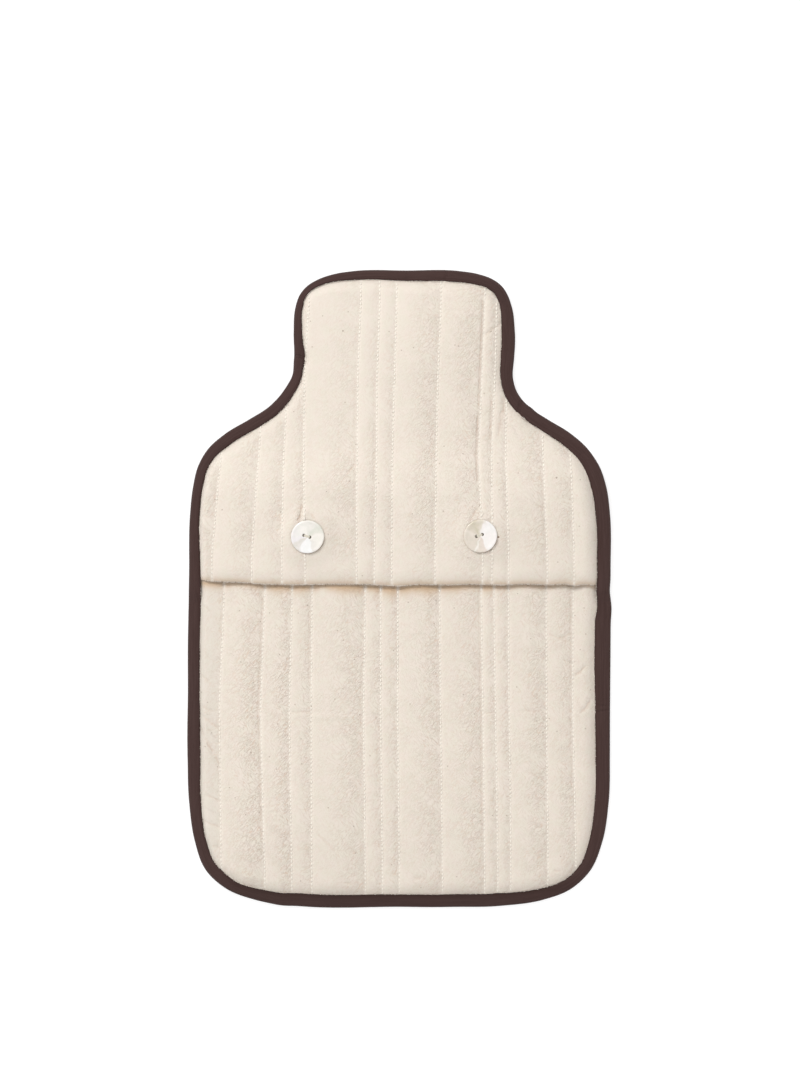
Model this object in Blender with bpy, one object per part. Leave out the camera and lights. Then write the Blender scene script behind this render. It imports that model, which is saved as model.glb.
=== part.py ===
"""Quilted cover for a hot water bottle, lying on its back with its neck towards +Y.

Sizes are in millimetres, and each mesh turns them into metres as it is made. The origin is under the
middle of the cover, on the surface that it lies on, and Z points up out of its front.
"""

import math

import bmesh
import bpy
import numpy as np

MM = 0.001

# Right half of the outer edge, from the top of the neck round to the bottom: x, y.
HALF_OUTLINE = (
    (0.0, 187.6),
    (31.0, 187.3),
    (42.5, 185.5),
    (50.5, 182.7),
    (56.5, 178.6),
    (60.8, 172.8),
    (63.6, 165.0),
    (64.5, 152.0),
    (64.3, 136.0),
    (65.3, 124.0),
    (68.6, 116.4),
    (75.6, 108.0),
    (88.2, 99.4),
    (101.6, 91.0),
    (111.6, 82.4),
    (117.9, 72.4),
    (121.4, 60.0),
    (123.5, 44.0),
    (124.0, 10.0),
    (124.0, -100.0),
    (123.2, -126.0),
    (119.8, -149.0),
    (112.8, -166.0),
    (101.5, -176.8),
    (84.5, -183.4),
    (60.0, -186.9),
    (0.0, -187.9),
)
# How far the middle of the hand-cut outline wanders to the right: y, shift.
LEAN = (
    (-188.0, 0.1),
    (-130.0, -0.3),
    (-90.0, -0.5),
    (0.0, 0.5),
    (50.0, 0.6),
    (86.0, -0.8),
    (108.0, 0.0),
    (117.0, 0.6),
    (132.0, 2.7),
    (176.0, 2.8),
    (188.0, 4.6),
)

# Stitch lines of the quilting, left to right: x where the line crosses each level of y.
FLAP_LEVELS = (20.0, 79.0, 170.0)
FLAP_LINES = (
    (-110.0, -104.7, -93.5),
    (-86.3, -82.3, -77.0),
    (-69.3, -67.2, -64.0),
    (-55.8, -55.2, -53.4),
    (-24.5, -24.4, -21.5),
    (-14.2, -13.0, -10.8),
    (-4.2, -2.8, -0.7),
    (22.0, 22.2, 25.6),
    (49.3, 46.9, 52.8),
    (54.6, 54.6, 58.7),
    (64.1, 63.6, 64.6),
    (87.1, 84.8, 83.5),
    (103.4, 101.8, 101.2),
)
LOWER_LEVELS = (-166.0, -69.0, -7.0)
LOWER_LINES = (
    (-104.7, -105.3, -103.0),
    (-79.9, -81.7, -79.1),
    (-63.7, -64.6, -62.8),
    (-51.3, -51.6, -51.0),
    (-19.8, -20.8, -19.8),
    (-9.7, -10.8, -10.7),
    (0.3, -0.8, -0.6),
    (25.7, 24.4, 24.0),
    (50.6, 49.4, 48.4),
    (58.3, 56.7, 55.9),
    (66.6, 65.3, 64.8),
    (87.9, 86.8, 86.7),
    (104.5, 102.4, 102.7),
)

# The flap's hem: x, y.
HEM = ((-120.0, 3.9), (-60.0, 2.1), (-10.0, 1.1), (15.0, 1.6), (83.0, 1.5), (120.0, 0.2))
POCKET_TOP = 52.0  # y of the lower panel's top edge, tucked under the flap

# Where each panel's mesh is cut across its stitch lines: y, or height above the hem in the flap.
BACK_ROWS = (-150.0, -120.0, -80.0, -40.0, 0.0, 40.0, 75.0, 100.0, 125.0, 150.0)
LOWER_ROWS = (-165.0, -153.0, -138.0, -105.0, -70.0, -35.0, -5.0, 25.0, 46.0, 49.6, 51.3)
FLAP_ROWS = (0.7, 2.4, 6.0, 20.0, 30.0, 40.0, 52.0, 61.0, 70.0, 79.0, 88.0, 104.0, 124.0, 145.0, 162.0)
NARROW_PUFF = 12.5  # a narrower puff has one cut along its middle
PUFF_SHARES = (0.17, 0.5, 0.83)  # places of the cuts across a wider one
OUTER_PUFF_CUT = 4.5  # from the outermost stitch lines, on their outer side

GAP = 0.3  # between pieces that touch
BINDING_WALL = 0.8
BINDING_WIDTH = 6.6  # as seen from the front
FOLD_FLAT = 2.0  # from the outer edge to where the folded strip lies flat
FOLD_SIDE = 0.6  # from the outer edge to the corner of the fold
FOLD_RISE = 0.8  # height of that corner
FOLD_ROOM = 0.9  # from the strip's wall to the cloth's own edge, inside the fold
HEM_STEP_RUN = 8.5  # below the hem, where the binding comes down to two layers of cloth
HEM_STEP_START = -9.0
RIM_CLOTH = 1.5  # quilted cloth squeezed inside the binding
GROOVE_CLOTH = 1.8  # quilted cloth at a stitch line
FULL_CLOTH = 4.2  # quilted cloth at its puffiest
PUFF_RUN = 3.4  # how fast the cloth fills out beside a stitch line
CAVITY = 6.5  # room for the bottle in the empty pouch, at its highest
CAVITY_RUN = 42.0  # from the binding to where the room is at its highest
SWELL_RUN = 8.0  # from the binding to where the cloth has its full thickness
BACK_LIFT_RUN = 5.0  # from the binding to where the back lies flat
FLAP_SLACK = 0.2  # more room between the flap and the panel under it, away from the rim
STEP_RUN = 36.0  # how far the flap takes to come down beyond the lower panel's top edge
STEP_CLEAR = 2.0
NOSE_RUN = 6.0  # length of the rounded front of a hem
NOSE_UNDER_RUN = 2.4
NOSE_LEAST = 0.15  # of the thickness, left at the very edge of a hem
NOSE_HEIGHT = 0.4  # of the thickness, where a hem's edge lies
BACK_GROOVE = 0.7  # depth of the quilting on the side that lies flat
BACK_GROOVE_HALF = 3.0
INNER_GROOVE = 0.35  # depth of the quilting on hidden sides

RIM = BINDING_WALL + FOLD_ROOM  # from the outer edge to the cloth's own edge
FIELD = BINDING_WIDTH + GAP  # from the outer edge to the cloth that shows
FILLED = FIELD + BACK_LIFT_RUN
BACK_RIM_Z = BINDING_WALL + GAP
LAYER = RIM_CLOTH + GAP

BUTTON_RADIUS = 9.8
BUTTONS = (("button_left", -53.5, 30.7, -18.0), ("button_right", 48.2, 31.1, 18.0))  # name, x, y, turn
BUTTON_PROFILE = (  # radius, height
    (0.0, 0.0),
    (8.7, 0.0),
    (9.6, 0.6),
    (BUTTON_RADIUS, 1.4),
    (9.4, 2.1),
    (8.6, 2.2),
    (7.6, 1.8),
    (4.0, 1.5),
    (0.0, 1.4),
)
BUTTON_STEPS = 28
HOLE_RADIUS = 0.9
HOLE_SPACING = 3.7
HOLE_STEPS = 10
HOLE_CUT_DEPTH = 8.0
DIMPLE = 1.0  # how far the thread pulls a button into the flap
DIMPLE_RADIUS = 9.0

CREAM = (0.83, 0.76, 0.65)
BROWN = (0.07, 0.043, 0.04)
PEARL = (0.84, 0.82, 0.76)


def closed_curve(points, step=1.0):
    """A fine polyline along a smooth closed curve through the points."""
    after = np.roll(points, -1, axis=0)
    reach = np.linalg.norm(after - points, axis=1)[:, None]
    back = np.roll(reach, 1, axis=0)
    ahead = (after - points) / reach
    tangent = (np.roll(ahead, 1, axis=0) * reach + ahead * back) / (reach + back)
    curve = []
    for n, (start, end) in enumerate(zip(points, after)):
        length = reach[n, 0]
        leave = tangent[n] * length
        arrive = tangent[(n + 1) % len(points)] * length
        for u in np.arange(0.0, 1.0 - 0.5 * step / length, step / length):
            curve.append(
                start * (2 * u**3 - 3 * u**2 + 1)
                + leave * (u**3 - 2 * u**2 + u)
                + end * (3 * u**2 - 2 * u**3)
                + arrive * (u**3 - u**2)
            )
    return np.array(curve)


def outline():
    """The outer edge of the binding, clockwise, as a fine polyline."""
    half = np.array(HALF_OUTLINE)
    left = half[-2:0:-1] * (-1.0, 1.0)
    points = np.concatenate([half, left])
    lean_y, lean_x = np.array(LEAN).T
    points[:, 0] += np.interp(points[:, 1], lean_y, lean_x)
    return closed_curve(points)


def inward_normals(curve):
    along = np.roll(curve, -1, axis=0) - np.roll(curve, 1, axis=0)
    along /= np.linalg.norm(along, axis=1)[:, None]
    return np.stack([along[:, 1], -along[:, 0]], axis=1)


def stations(curve, most_turn=math.radians(11.0), most_length=20.0):
    """Indices of the points that a faceted copy of the curve needs."""
    along = np.roll(curve, -1, axis=0) - curve
    length = np.linalg.norm(along, axis=1)
    heading = np.unwrap(np.arctan2(along[:, 1], along[:, 0]))
    turn = np.abs(np.diff(heading, prepend=heading[0]))
    spent = np.cumsum(length / most_length + turn / most_turn)
    count = int(math.ceil(spent[-1]))
    marks = np.arange(count) * spent[-1] / count
    return np.searchsorted(spent, marks + spent[0])


EDGE = outline()
INWARD = inward_normals(EDGE)
STATIONS = stations(EDGE)


def loop_at(depth):
    """The outline's stations, moved inwards."""
    return EDGE[STATIONS] + INWARD[STATIONS] * depth


def depth_of(points):
    """Distance from each point to the outer edge."""
    start = EDGE
    along = np.roll(EDGE, -1, axis=0) - EDGE
    offset = points[:, None, :] - start[None, :, :]
    share = np.sum(offset * along, axis=2) / np.sum(along * along, axis=1)
    foot = offset - np.clip(share, 0.0, 1.0)[:, :, None] * along
    return np.sqrt(np.min(np.sum(foot * foot, axis=2), axis=1))


def ease(share):
    """0 to 1, steep at first and level at the end."""
    return 1.0 - (1.0 - np.clip(share, 0.0, 1.0)) ** 2


def smooth(share):
    share = np.clip(share, 0.0, 1.0)
    return share * share * (3.0 - 2.0 * share)


def bump_round(share, least):
    """A quarter of a circle, from `least` up to 1."""
    return np.maximum(least, np.sqrt(1.0 - (1.0 - np.clip(share, 0.0, 1.0)) ** 2))


class Quilting:
    """Stitch lines of one panel, and the map between the panel and a space in which they are straight."""

    FAR = 200.0

    def __init__(self, lines, levels, edge=((0.0, 0.0),)):
        self.levels = levels
        self.rows = np.array(lines)
        self.straight = self.rows.mean(axis=1)
        self.edge_x, self.edge_y = np.array(edge).T

    def lines_at(self, y):
        return np.array([np.interp(y, self.levels, row) for row in self.rows])

    def edge_at(self, x):
        return np.interp(x, self.edge_x, self.edge_y)

    def ends(self, values):
        return np.concatenate([[-self.FAR], values, [self.FAR]])

    def to_quilt(self, points):
        straight = self.ends(self.straight)
        return [
            (np.interp(x, self.ends(self.lines_at(y)), straight), y - self.edge_at(x))
            for x, y in points
        ]

    def from_quilt(self, across, up):
        straight = self.ends(self.straight)
        x, y = across, up
        for _ in range(4):
            y = up + self.edge_at(x)
            x = np.interp(across, straight, self.ends(self.lines_at(y)))
        return x, y

    def nearest_line(self, points):
        return np.array([np.abs(self.lines_at(y) - x).min() for x, y in points])

    def puff(self, points):
        return 1.0 - np.exp(-self.nearest_line(points) / PUFF_RUN)

    def columns(self):
        """Cuts along the stitch lines, and between them where the puffs turn."""
        cuts = list(self.straight)
        for left, right in zip(self.straight, self.straight[1:]):
            shares = (0.5,) if right - left < NARROW_PUFF else PUFF_SHARES
            cuts += [left + share * (right - left) for share in shares]
        cuts += [self.straight[0] - OUTER_PUFF_CUT, self.straight[-1] + OUTER_PUFF_CUT]
        return cuts

    def groove_columns(self):
        """Cuts along the stitch lines and at both sides of their grooves."""
        return [x + side for x in self.straight for side in (-BACK_GROOVE_HALF, 0.0, BACK_GROOVE_HALF)]


FLAP = Quilting(FLAP_LINES, FLAP_LEVELS, HEM)
LOWER = Quilting(LOWER_LINES, LOWER_LEVELS)
BACK = Quilting([[sum(row) / len(row)] * 2 for row in LOWER_LINES], (-190.0, 190.0))


def cut(plan, place, normal, fine=0.7, whole=False):
    """Cuts the flat mesh along a line: its field only, or all of it with what lies beyond removed."""
    faces = [face for face in plan.faces if whole or face.material_index]
    verts = {vert for face in faces for vert in face.verts}
    edges = {edge for face in faces for edge in face.edges}
    bmesh.ops.bisect_plane(
        plan,
        geom=[*verts, *edges, *faces],
        dist=fine,
        plane_co=place,
        plane_no=normal,
        clear_outer=whole,
    )


def plan_of(quilting, columns, rows, edge=None):
    """The panel cut out flat: its points, its faces, and the edges round it.

    edge is (y, side): the panel ends there, and lies on that side of it, 1 for above and -1 for below.
    """
    plan = bmesh.new()
    loops = []
    for depth in (RIM, FIELD, FILLED):
        flat = quilting.to_quilt(loop_at(depth))
        loops.append([plan.verts.new((across, up, 0.0)) for across, up in flat])
    count = len(loops[0])
    for ring, (outer, inner) in enumerate(zip(loops, loops[1:])):
        for n in range(count):
            m = (n + 1) % count
            face = plan.faces.new((outer[n], outer[m], inner[m], inner[n]))
            face.material_index = ring
    plan.faces.new(loops[-1]).material_index = 1
    if edge:
        cut(plan, (0.0, edge[0], 0.0), (0.0, -edge[1], 0.0), fine=0.05, whole=True)
    for across in columns:
        cut(plan, (across, 0.0, 0.0), (1.0, 0.0, 0.0))
    for up in rows:
        cut(plan, (0.0, up, 0.0), (0.0, 1.0, 0.0), fine=0.3)
    plan.verts.index_update()
    points = np.array([quilting.from_quilt(*vert.co[:2]) for vert in plan.verts])
    faces = [[vert.index for vert in face.verts] for face in plan.faces]
    rim = [[vert.index for vert in edge.verts] for edge in plan.edges if edge.is_boundary]
    plan.free()
    return points, faces, rim


def material(name, colour, roughness):
    made = bpy.data.materials.get(name) or bpy.data.materials.new(name)
    made.use_nodes = True
    shader = made.node_tree.nodes["Principled BSDF"]
    shader.inputs["Base Color"].default_value = (*colour, 1.0)
    shader.inputs["Roughness"].default_value = roughness
    return made


def add_object(name, mesh, finish):
    bm = bmesh.new()
    bm.from_mesh(mesh)
    bmesh.ops.recalc_face_normals(bm, faces=bm.faces)
    bm.to_mesh(mesh)
    bm.free()
    mesh.materials.append(finish)
    mesh.shade_smooth()
    mesh.set_sharp_from_angle(angle=math.radians(50.0))
    made = bpy.data.objects.new(name, mesh)
    bpy.context.collection.objects.link(made)
    return made


def add_slab(name, plan, top, bottom, finish):
    """A solid between two heights over the same flat mesh."""
    points, faces, rim = plan
    count = len(points)
    upper = np.column_stack([points, top])
    lower = np.column_stack([points, bottom])
    walls = [[a, b, b + count, a + count] for a, b in rim]
    under = [[n + count for n in face] for face in faces]
    mesh = bpy.data.meshes.new(name)
    mesh.from_pydata((np.concatenate([upper, lower]) * MM).tolist(), [], faces + under + walls)
    return add_object(name, mesh, finish)


def back_top(inside):
    """Height of the back panel's upper side, at a distance inside the binding."""
    full = FULL_CLOTH - BACK_RIM_Z - RIM_CLOTH
    return BACK_RIM_Z + RIM_CLOTH + full * ease(inside / SWELL_RUN)


def room_top(inside):
    """Height of the top of the room inside the cover."""
    return back_top(inside) + GAP + CAVITY * ease(inside / CAVITY_RUN)


def cloth(inside, puff):
    """Thickness of quilted cloth."""
    quilted = GROOVE_CLOTH + (FULL_CLOTH - GROOVE_CLOTH) * puff
    return RIM_CLOTH + (quilted - RIM_CLOTH) * ease(inside / SWELL_RUN)


def over_pocket(y):
    """1 where the flap lies on the lower panel, down to 0 towards the neck."""
    return 1.0 - smooth((y - POCKET_TOP - STEP_CLEAR) / STEP_RUN)


def hem_nose(middle, top, bottom, run):
    """Rounds the two sides of a hem towards its edge, at `run` from the edge."""
    top = middle + (top - middle) * bump_round(run / NOSE_RUN, NOSE_LEAST)
    bottom = middle + (bottom - middle) * bump_round(run / NOSE_UNDER_RUN, NOSE_LEAST)
    return top, bottom


def make_back(cream):
    plan = plan_of(BACK, BACK.groove_columns(), BACK_ROWS)
    inside = np.maximum(depth_of(plan[0]) - FIELD, 0.0)
    groove = 1.0 - np.clip(BACK.nearest_line(plan[0]) / BACK_GROOVE_HALF, 0.0, 1.0)
    lying = np.clip(inside / BACK_LIFT_RUN, 0.0, 1.0)
    bottom = BACK_RIM_Z * (1.0 - lying) + BACK_GROOVE * groove * lying
    top = back_top(inside) - INNER_GROOVE * groove * lying
    return add_slab("back_panel", plan, top, bottom, cream)


def make_front_lower(cream):
    plan = plan_of(LOWER, LOWER.columns(), LOWER_ROWS, edge=(POCKET_TOP, -1.0))
    points = plan[0]
    inside = np.maximum(depth_of(points) - FIELD, 0.0)
    thick = cloth(inside, LOWER.puff(points))
    bottom = room_top(inside)
    top = bottom + thick
    middle = bottom + NOSE_HEIGHT * thick
    top, bottom = hem_nose(middle, top, bottom, POCKET_TOP - points[:, 1])
    return add_slab("front_lower", plan, top, bottom, cream)


def flap_heights(points):
    """Heights of the upper and lower sides of the flap."""
    inside = np.maximum(depth_of(points) - FIELD, 0.0)
    pocket = cloth(inside, 1.0) + GAP + FLAP_SLACK * ease(inside / SWELL_RUN)
    bottom = room_top(inside) + over_pocket(points[:, 1]) * pocket
    thick = cloth(inside, FLAP.puff(points))
    top = bottom + thick
    for _, x, y, _ in BUTTONS:
        away = np.hypot(points[:, 0] - x, points[:, 1] - y)
        top = top - DIMPLE * np.exp(-((away / DIMPLE_RADIUS) ** 2))
    middle = bottom + NOSE_HEIGHT * thick
    from_hem = points[:, 1] - FLAP.edge_at(points[:, 0])
    return hem_nose(middle, top, bottom, from_hem)


def make_front_upper(cream):
    plan = plan_of(FLAP, FLAP.columns(), FLAP_ROWS, edge=(0.0, 1.0))
    top, bottom = flap_heights(plan[0])
    return add_slab("front_upper", plan, top, bottom, cream)


def binding_section(top):
    """The folded strip in cross section: inwards from the outer edge, height."""
    wall = BINDING_WALL
    outside = (
        (BINDING_WIDTH, 0.0),
        (FOLD_FLAT, 0.0),
        (FOLD_SIDE, FOLD_RISE),
        (0.0, top / 2),
        (FOLD_SIDE, top - FOLD_RISE),
        (FOLD_FLAT, top),
        (BINDING_WIDTH, top),
    )
    inside = (
        (BINDING_WIDTH, top - wall),
        (FOLD_FLAT - 0.5, top - wall),
        (wall + 0.1, top - wall - FOLD_SIDE),
        (wall, top / 2),
        (wall + 0.1, wall + FOLD_SIDE),
        (FOLD_FLAT - 0.5, wall),
        (BINDING_WIDTH, wall),
    )
    return outside + inside


def binding_top(y):
    """Height of the binding, over two layers of cloth, or three where the flap overlaps the lower panel."""
    above_hem = smooth((y - HEM_STEP_START) / HEM_STEP_RUN)
    third = LAYER * over_pocket(y) * above_hem
    return 2 * BINDING_WALL + 2 * LAYER + GAP + third


def make_binding(brown):
    points = []
    for place, inward in zip(EDGE[STATIONS], INWARD[STATIONS]):
        for depth, z in binding_section(binding_top(place[1])):
            points.append((*(place + inward * depth), z))
    around = len(STATIONS)
    ring = len(binding_section(1.0))
    faces = []
    for n in range(around):
        m = (n + 1) % around
        for a in range(ring):
            b = (a + 1) % ring
            faces.append((n * ring + a, n * ring + b, m * ring + b, m * ring + a))
    mesh = bpy.data.meshes.new("binding")
    mesh.from_pydata((np.array(points) * MM).tolist(), [], faces)
    return add_object("binding", mesh, brown)


def button_seat(x, y):
    """Height of the flap's highest point under a button."""
    spots = [
        (x + radius * math.cos(angle), y + radius * math.sin(angle))
        for radius in np.linspace(0.0, BUTTON_RADIUS, 9)
        for angle in np.linspace(0.0, math.tau, 33)
    ]
    return flap_heights(np.array(spots))[0].max()


def turned_button():
    """A round button with a raised rim and a shallow dish, turned from its profile."""
    bm = bmesh.new()
    rings = []
    for radius, height in BUTTON_PROFILE:
        if radius == 0.0:
            rings.append([bm.verts.new((0.0, 0.0, height))] * BUTTON_STEPS)
            continue
        angles = [math.tau * n / BUTTON_STEPS for n in range(BUTTON_STEPS)]
        rings.append([bm.verts.new((radius * math.cos(a), radius * math.sin(a), height)) for a in angles])
    for low, high in zip(rings, rings[1:]):
        for n in range(BUTTON_STEPS):
            m = (n + 1) % BUTTON_STEPS
            corners = dict.fromkeys((low[n], low[m], high[m], high[n]))
            bm.faces.new(list(corners))
    bmesh.ops.recalc_face_normals(bm, faces=bm.faces)
    bmesh.ops.scale(bm, vec=(MM, MM, MM), verts=bm.verts)
    return bm


def hole_cutter(name, x):
    bm = bmesh.new()
    bmesh.ops.create_cone(
        bm,
        cap_ends=True,
        segments=HOLE_STEPS,
        radius1=HOLE_RADIUS * MM,
        radius2=HOLE_RADIUS * MM,
        depth=HOLE_CUT_DEPTH * MM,
    )
    bmesh.ops.translate(bm, vec=(x * MM, 0.0, 0.0), verts=bm.verts)
    mesh = bpy.data.meshes.new(name)
    bm.to_mesh(mesh)
    bm.free()
    made = bpy.data.objects.new(name, mesh)
    made.hide_render = True
    made.display_type = "WIRE"
    bpy.context.collection.objects.link(made)
    return made


def make_button(name, x, y, turn, pearl):
    bm = turned_button()
    mesh = bpy.data.meshes.new(name)
    bm.to_mesh(mesh)
    bm.free()
    made = add_object(name, mesh, pearl)
    made.location = (x * MM, y * MM, (button_seat(x, y) + GAP) * MM)
    made.rotation_euler.z = math.radians(turn)
    for side in (-1.0, 1.0):
        cutter = hole_cutter(f"{name}_cutter", side * HOLE_SPACING / 2)
        cutter.parent = made
        hole = made.modifiers.new("hole", "BOOLEAN")
        hole.object = cutter
        hole.solver = "EXACT"
    return made


def main():
    for old in list(bpy.data.objects):
        bpy.data.objects.remove(old)
    cream = material("quilted_cotton", CREAM, 0.9)
    brown = material("binding_cotton", BROWN, 0.85)
    pearl = material("pearl_shell", PEARL, 0.25)
    make_back(cream)
    make_front_lower(cream)
    make_front_upper(cream)
    make_binding(brown)
    for name, x, y, turn in BUTTONS:
        make_button(name, x, y, turn, pearl)


main()
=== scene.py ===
"""Looks of a quilted cover for a hot water bottle: brushed cotton, a brown strip and two shell buttons.

The cover lies on its back with its neck towards +Y, and the camera looks straight down on its front. Sizes
are in millimetres, and each mesh turns them into metres as it is made.
"""

import math

import bmesh
import bpy
import numpy as np
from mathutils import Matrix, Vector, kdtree


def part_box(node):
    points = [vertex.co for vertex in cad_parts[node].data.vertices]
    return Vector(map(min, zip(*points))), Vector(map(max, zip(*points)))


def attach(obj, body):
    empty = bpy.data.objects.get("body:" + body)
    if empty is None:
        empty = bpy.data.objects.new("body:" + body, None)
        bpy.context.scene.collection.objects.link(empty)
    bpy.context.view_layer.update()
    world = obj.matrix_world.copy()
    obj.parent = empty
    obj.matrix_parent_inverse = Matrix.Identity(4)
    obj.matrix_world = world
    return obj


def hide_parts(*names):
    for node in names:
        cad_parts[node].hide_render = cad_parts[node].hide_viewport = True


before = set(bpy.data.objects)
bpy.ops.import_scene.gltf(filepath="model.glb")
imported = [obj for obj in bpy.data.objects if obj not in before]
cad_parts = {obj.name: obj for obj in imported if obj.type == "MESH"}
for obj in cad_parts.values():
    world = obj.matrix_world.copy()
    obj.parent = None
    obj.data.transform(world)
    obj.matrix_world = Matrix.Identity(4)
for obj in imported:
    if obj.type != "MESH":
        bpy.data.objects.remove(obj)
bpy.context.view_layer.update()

MM = 0.001

# The photograph: millimetres on the cover for each of its pixels, and its middle in the frame.
PHOTO_MM = 0.59
PHOTO_PIXELS = (800, 1067)
PHOTO_MIDDLE = (0.6, 32.7)
CAMERA_HEIGHT = 2000.0
RIM_HEIGHT = 5.5  # the height at which the photograph's scale holds
SENSOR = 36.0

# Right half of the outer edge, from the top of the neck round to the bottom: x, y.
HALF_OUTLINE = (
    (0.0, 187.6),
    (31.0, 187.3),
    (42.5, 185.5),
    (50.5, 182.7),
    (56.5, 178.6),
    (60.8, 172.8),
    (63.6, 165.0),
    (64.5, 152.0),
    (64.3, 136.0),
    (65.3, 124.0),
    (68.6, 116.4),
    (75.6, 108.0),
    (88.2, 99.4),
    (101.6, 91.0),
    (111.6, 82.4),
    (117.9, 72.4),
    (121.4, 60.0),
    (123.5, 44.0),
    (124.0, 10.0),
    (124.0, -100.0),
    (123.2, -126.0),
    (119.8, -149.0),
    (112.8, -166.0),
    (101.5, -176.8),
    (84.5, -183.4),
    (60.0, -186.9),
    (0.0, -187.9),
)
# How far the middle of the hand-cut outline wanders to the right: y, shift.
LEAN = (
    (-188.0, 0.1),
    (-130.0, -0.3),
    (-90.0, -0.5),
    (0.0, 0.5),
    (50.0, 0.6),
    (86.0, -0.8),
    (108.0, 0.0),
    (117.0, 0.6),
    (132.0, 2.7),
    (176.0, 2.8),
    (188.0, 4.6),
)
# Where the hand-sewn edge strays from that outline: x, y, shift outwards, reach along the edge.
EDGE_STRAYS = (
    (60.0, 176.0, 0.5, 9.0),
    (67.0, 146.0, 0.9, 14.0),
    (78.0, 106.0, 0.5, 3.0),
    (100.0, 92.0, 0.4, 14.0),
    (121.0, 60.0, 0.4, 14.0),
    (125.0, -1.0, -0.5, 5.0),
    (124.5, -12.0, 0.5, 6.0),
    (124.0, -112.0, 0.7, 30.0),
    (36.0, -188.0, -0.6, 16.0),
    (-5.0, -188.0, -0.5, 35.0),
    (-69.0, -186.0, 0.6, 7.0),
    (-124.6, -62.0, -0.5, 20.0),
    (-114.0, -164.0, 0.7, 14.0),
    (-100.0, 92.0, 0.3, 14.0),
    (-63.0, 127.0, -0.5, 5.0),
    (-58.0, 175.0, 0.5, 9.0),
)
# Visible width of the binding round the outline, clockwise: x, y, width.
BINDING_WIDTHS = (
    (0.0, 188.0, 5.8),
    (32.0, 187.6, 6.5),
    (53.0, 183.0, 5.9),
    (65.0, 169.0, 6.3),
    (67.0, 153.0, 7.6),
    (67.0, 138.0, 7.6),
    (67.0, 124.0, 6.9),
    (82.0, 103.0, 7.1),
    (105.0, 88.0, 7.9),
    (120.0, 65.0, 8.6),
    (124.0, 44.0, 8.3),
    (124.5, 9.0, 7.6),
    (124.5, -5.0, 7.8),
    (124.5, -19.0, 9.1),
    (124.4, -47.0, 9.1),
    (124.2, -62.0, 8.5),
    (123.8, -96.0, 8.2),
    (120.6, -145.0, 7.7),
    (109.0, -170.6, 6.5),
    (98.0, -178.7, 6.2),
    (57.0, -187.2, 7.4),
    (0.0, -188.0, 7.1),
    (-62.0, -187.0, 7.5),
    (-96.0, -179.7, 6.1),
    (-108.0, -172.0, 6.8),
    (-120.0, -147.0, 6.3),
    (-124.6, -91.0, 7.4),
    (-124.8, -63.0, 6.7),
    (-124.0, -14.0, 6.9),
    (-123.4, 14.0, 6.4),
    (-123.0, 42.0, 5.4),
    (-116.5, 76.0, 5.7),
    (-106.0, 88.0, 6.7),
    (-73.0, 110.0, 6.2),
    (-63.0, 129.0, 5.2),
    (-61.6, 137.0, 6.4),
    (-61.8, 145.0, 5.0),
    (-61.2, 163.0, 4.0),
    (-55.7, 176.0, 3.2),
    (-44.0, 183.8, 3.8),
    (-30.0, 187.0, 4.9),
)

# Stitch lines of the quilting, left to right: x where the line crosses each level of y.
FLAP_LEVELS = (20.0, 79.0, 125.0, 170.0)
FLAP_LINES = (
    (-110.0, -104.7, -99.0, -93.5),
    (-86.4, -82.5, -79.7, -77.0),
    (-68.6, -67.8, -65.6, -64.0),
    (-55.0, -56.0, -55.8, -52.9),
    (-24.9, -24.5, -24.2, -22.5),
    (-14.4, -13.1, -12.9, -11.3),
    (-4.2, -3.9, -2.6, -1.4),
    (21.2, 21.9, 22.9, 24.9),
    (49.0, 46.9, 49.0, 50.8),
    (54.6, 54.6, 56.6, 57.7),
    (64.3, 62.8, 63.6, 64.6),
    (87.1, 84.8, 84.1, 83.5),
    (103.0, 101.0, 101.0, 101.0),
)
LOWER_LEVELS = (-166.0, -69.0, -7.0)
LOWER_LINES = (
    (-104.7, -105.8, -103.0),
    (-79.0, -81.4, -78.8),
    (-63.1, -64.5, -62.8),
    (-51.3, -51.6, -51.0),
    (-19.8, -20.8, -19.8),
    (-9.7, -10.8, -10.7),
    (0.3, -0.8, -0.6),
    (25.7, 24.4, 24.0),
    (50.6, 49.4, 48.4),
    (58.3, 56.7, 55.9),
    (66.0, 64.8, 64.4),
    (87.9, 86.8, 86.7),
    (104.5, 102.4, 102.7),
)

# The flap's hem, which waves a little: x, y.
HEM = (
    (-120.0, 5.5),
    (-104.0, 4.5),
    (-95.0, 4.3),
    (-80.0, 3.2),
    (-62.0, 2.8),
    (-42.0, 3.2),
    (-20.0, 3.1),
    (-1.0, 2.1),
    (13.0, 3.1),
    (27.0, 2.7),
    (42.0, 3.2),
    (60.0, 2.7),
    (74.0, 3.2),
    (88.0, 2.7),
    (98.0, 3.2),
    (103.0, 2.1),
    (109.0, 3.0),
    (120.0, 1.8),
)
POCKET_TOP = 52.0  # y of the lower panel's top edge, tucked under the flap

GAP = 0.3  # between pieces that touch
BINDING_WALL = 0.8
RIM_CLOTH = 1.5  # quilted cloth squeezed inside the binding
GROOVE_CLOTH = 1.8  # quilted cloth at a stitch line
FULL_CLOTH = 4.2  # quilted cloth at its puffiest
CAVITY = 6.5  # room for the bottle in the empty pouch, at its highest
SWELL_RUN = 8.0  # from the binding to where the cloth has its full thickness
LEFT_SWELL_RUN = 3.5  # the same at the left edge, where the cloth is pushed up against the binding
BACK_LIFT_RUN = 5.0  # from the binding to where the back lies flat
FLAP_SLACK = 0.2  # more room between the flap and the panel under it, away from the rim
STEP_RUN = 36.0  # how far the flap takes to come down beyond the lower panel's top edge
STEP_CLEAR = 2.0
HEM_STEP_RUN = 8.5  # below the hem, where the binding comes down to two layers of cloth
HEM_STEP_START = -9.0
NOSE_RUN = 6.0  # length of the rounded front of a hem
NOSE_UNDER_RUN = 2.4
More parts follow.
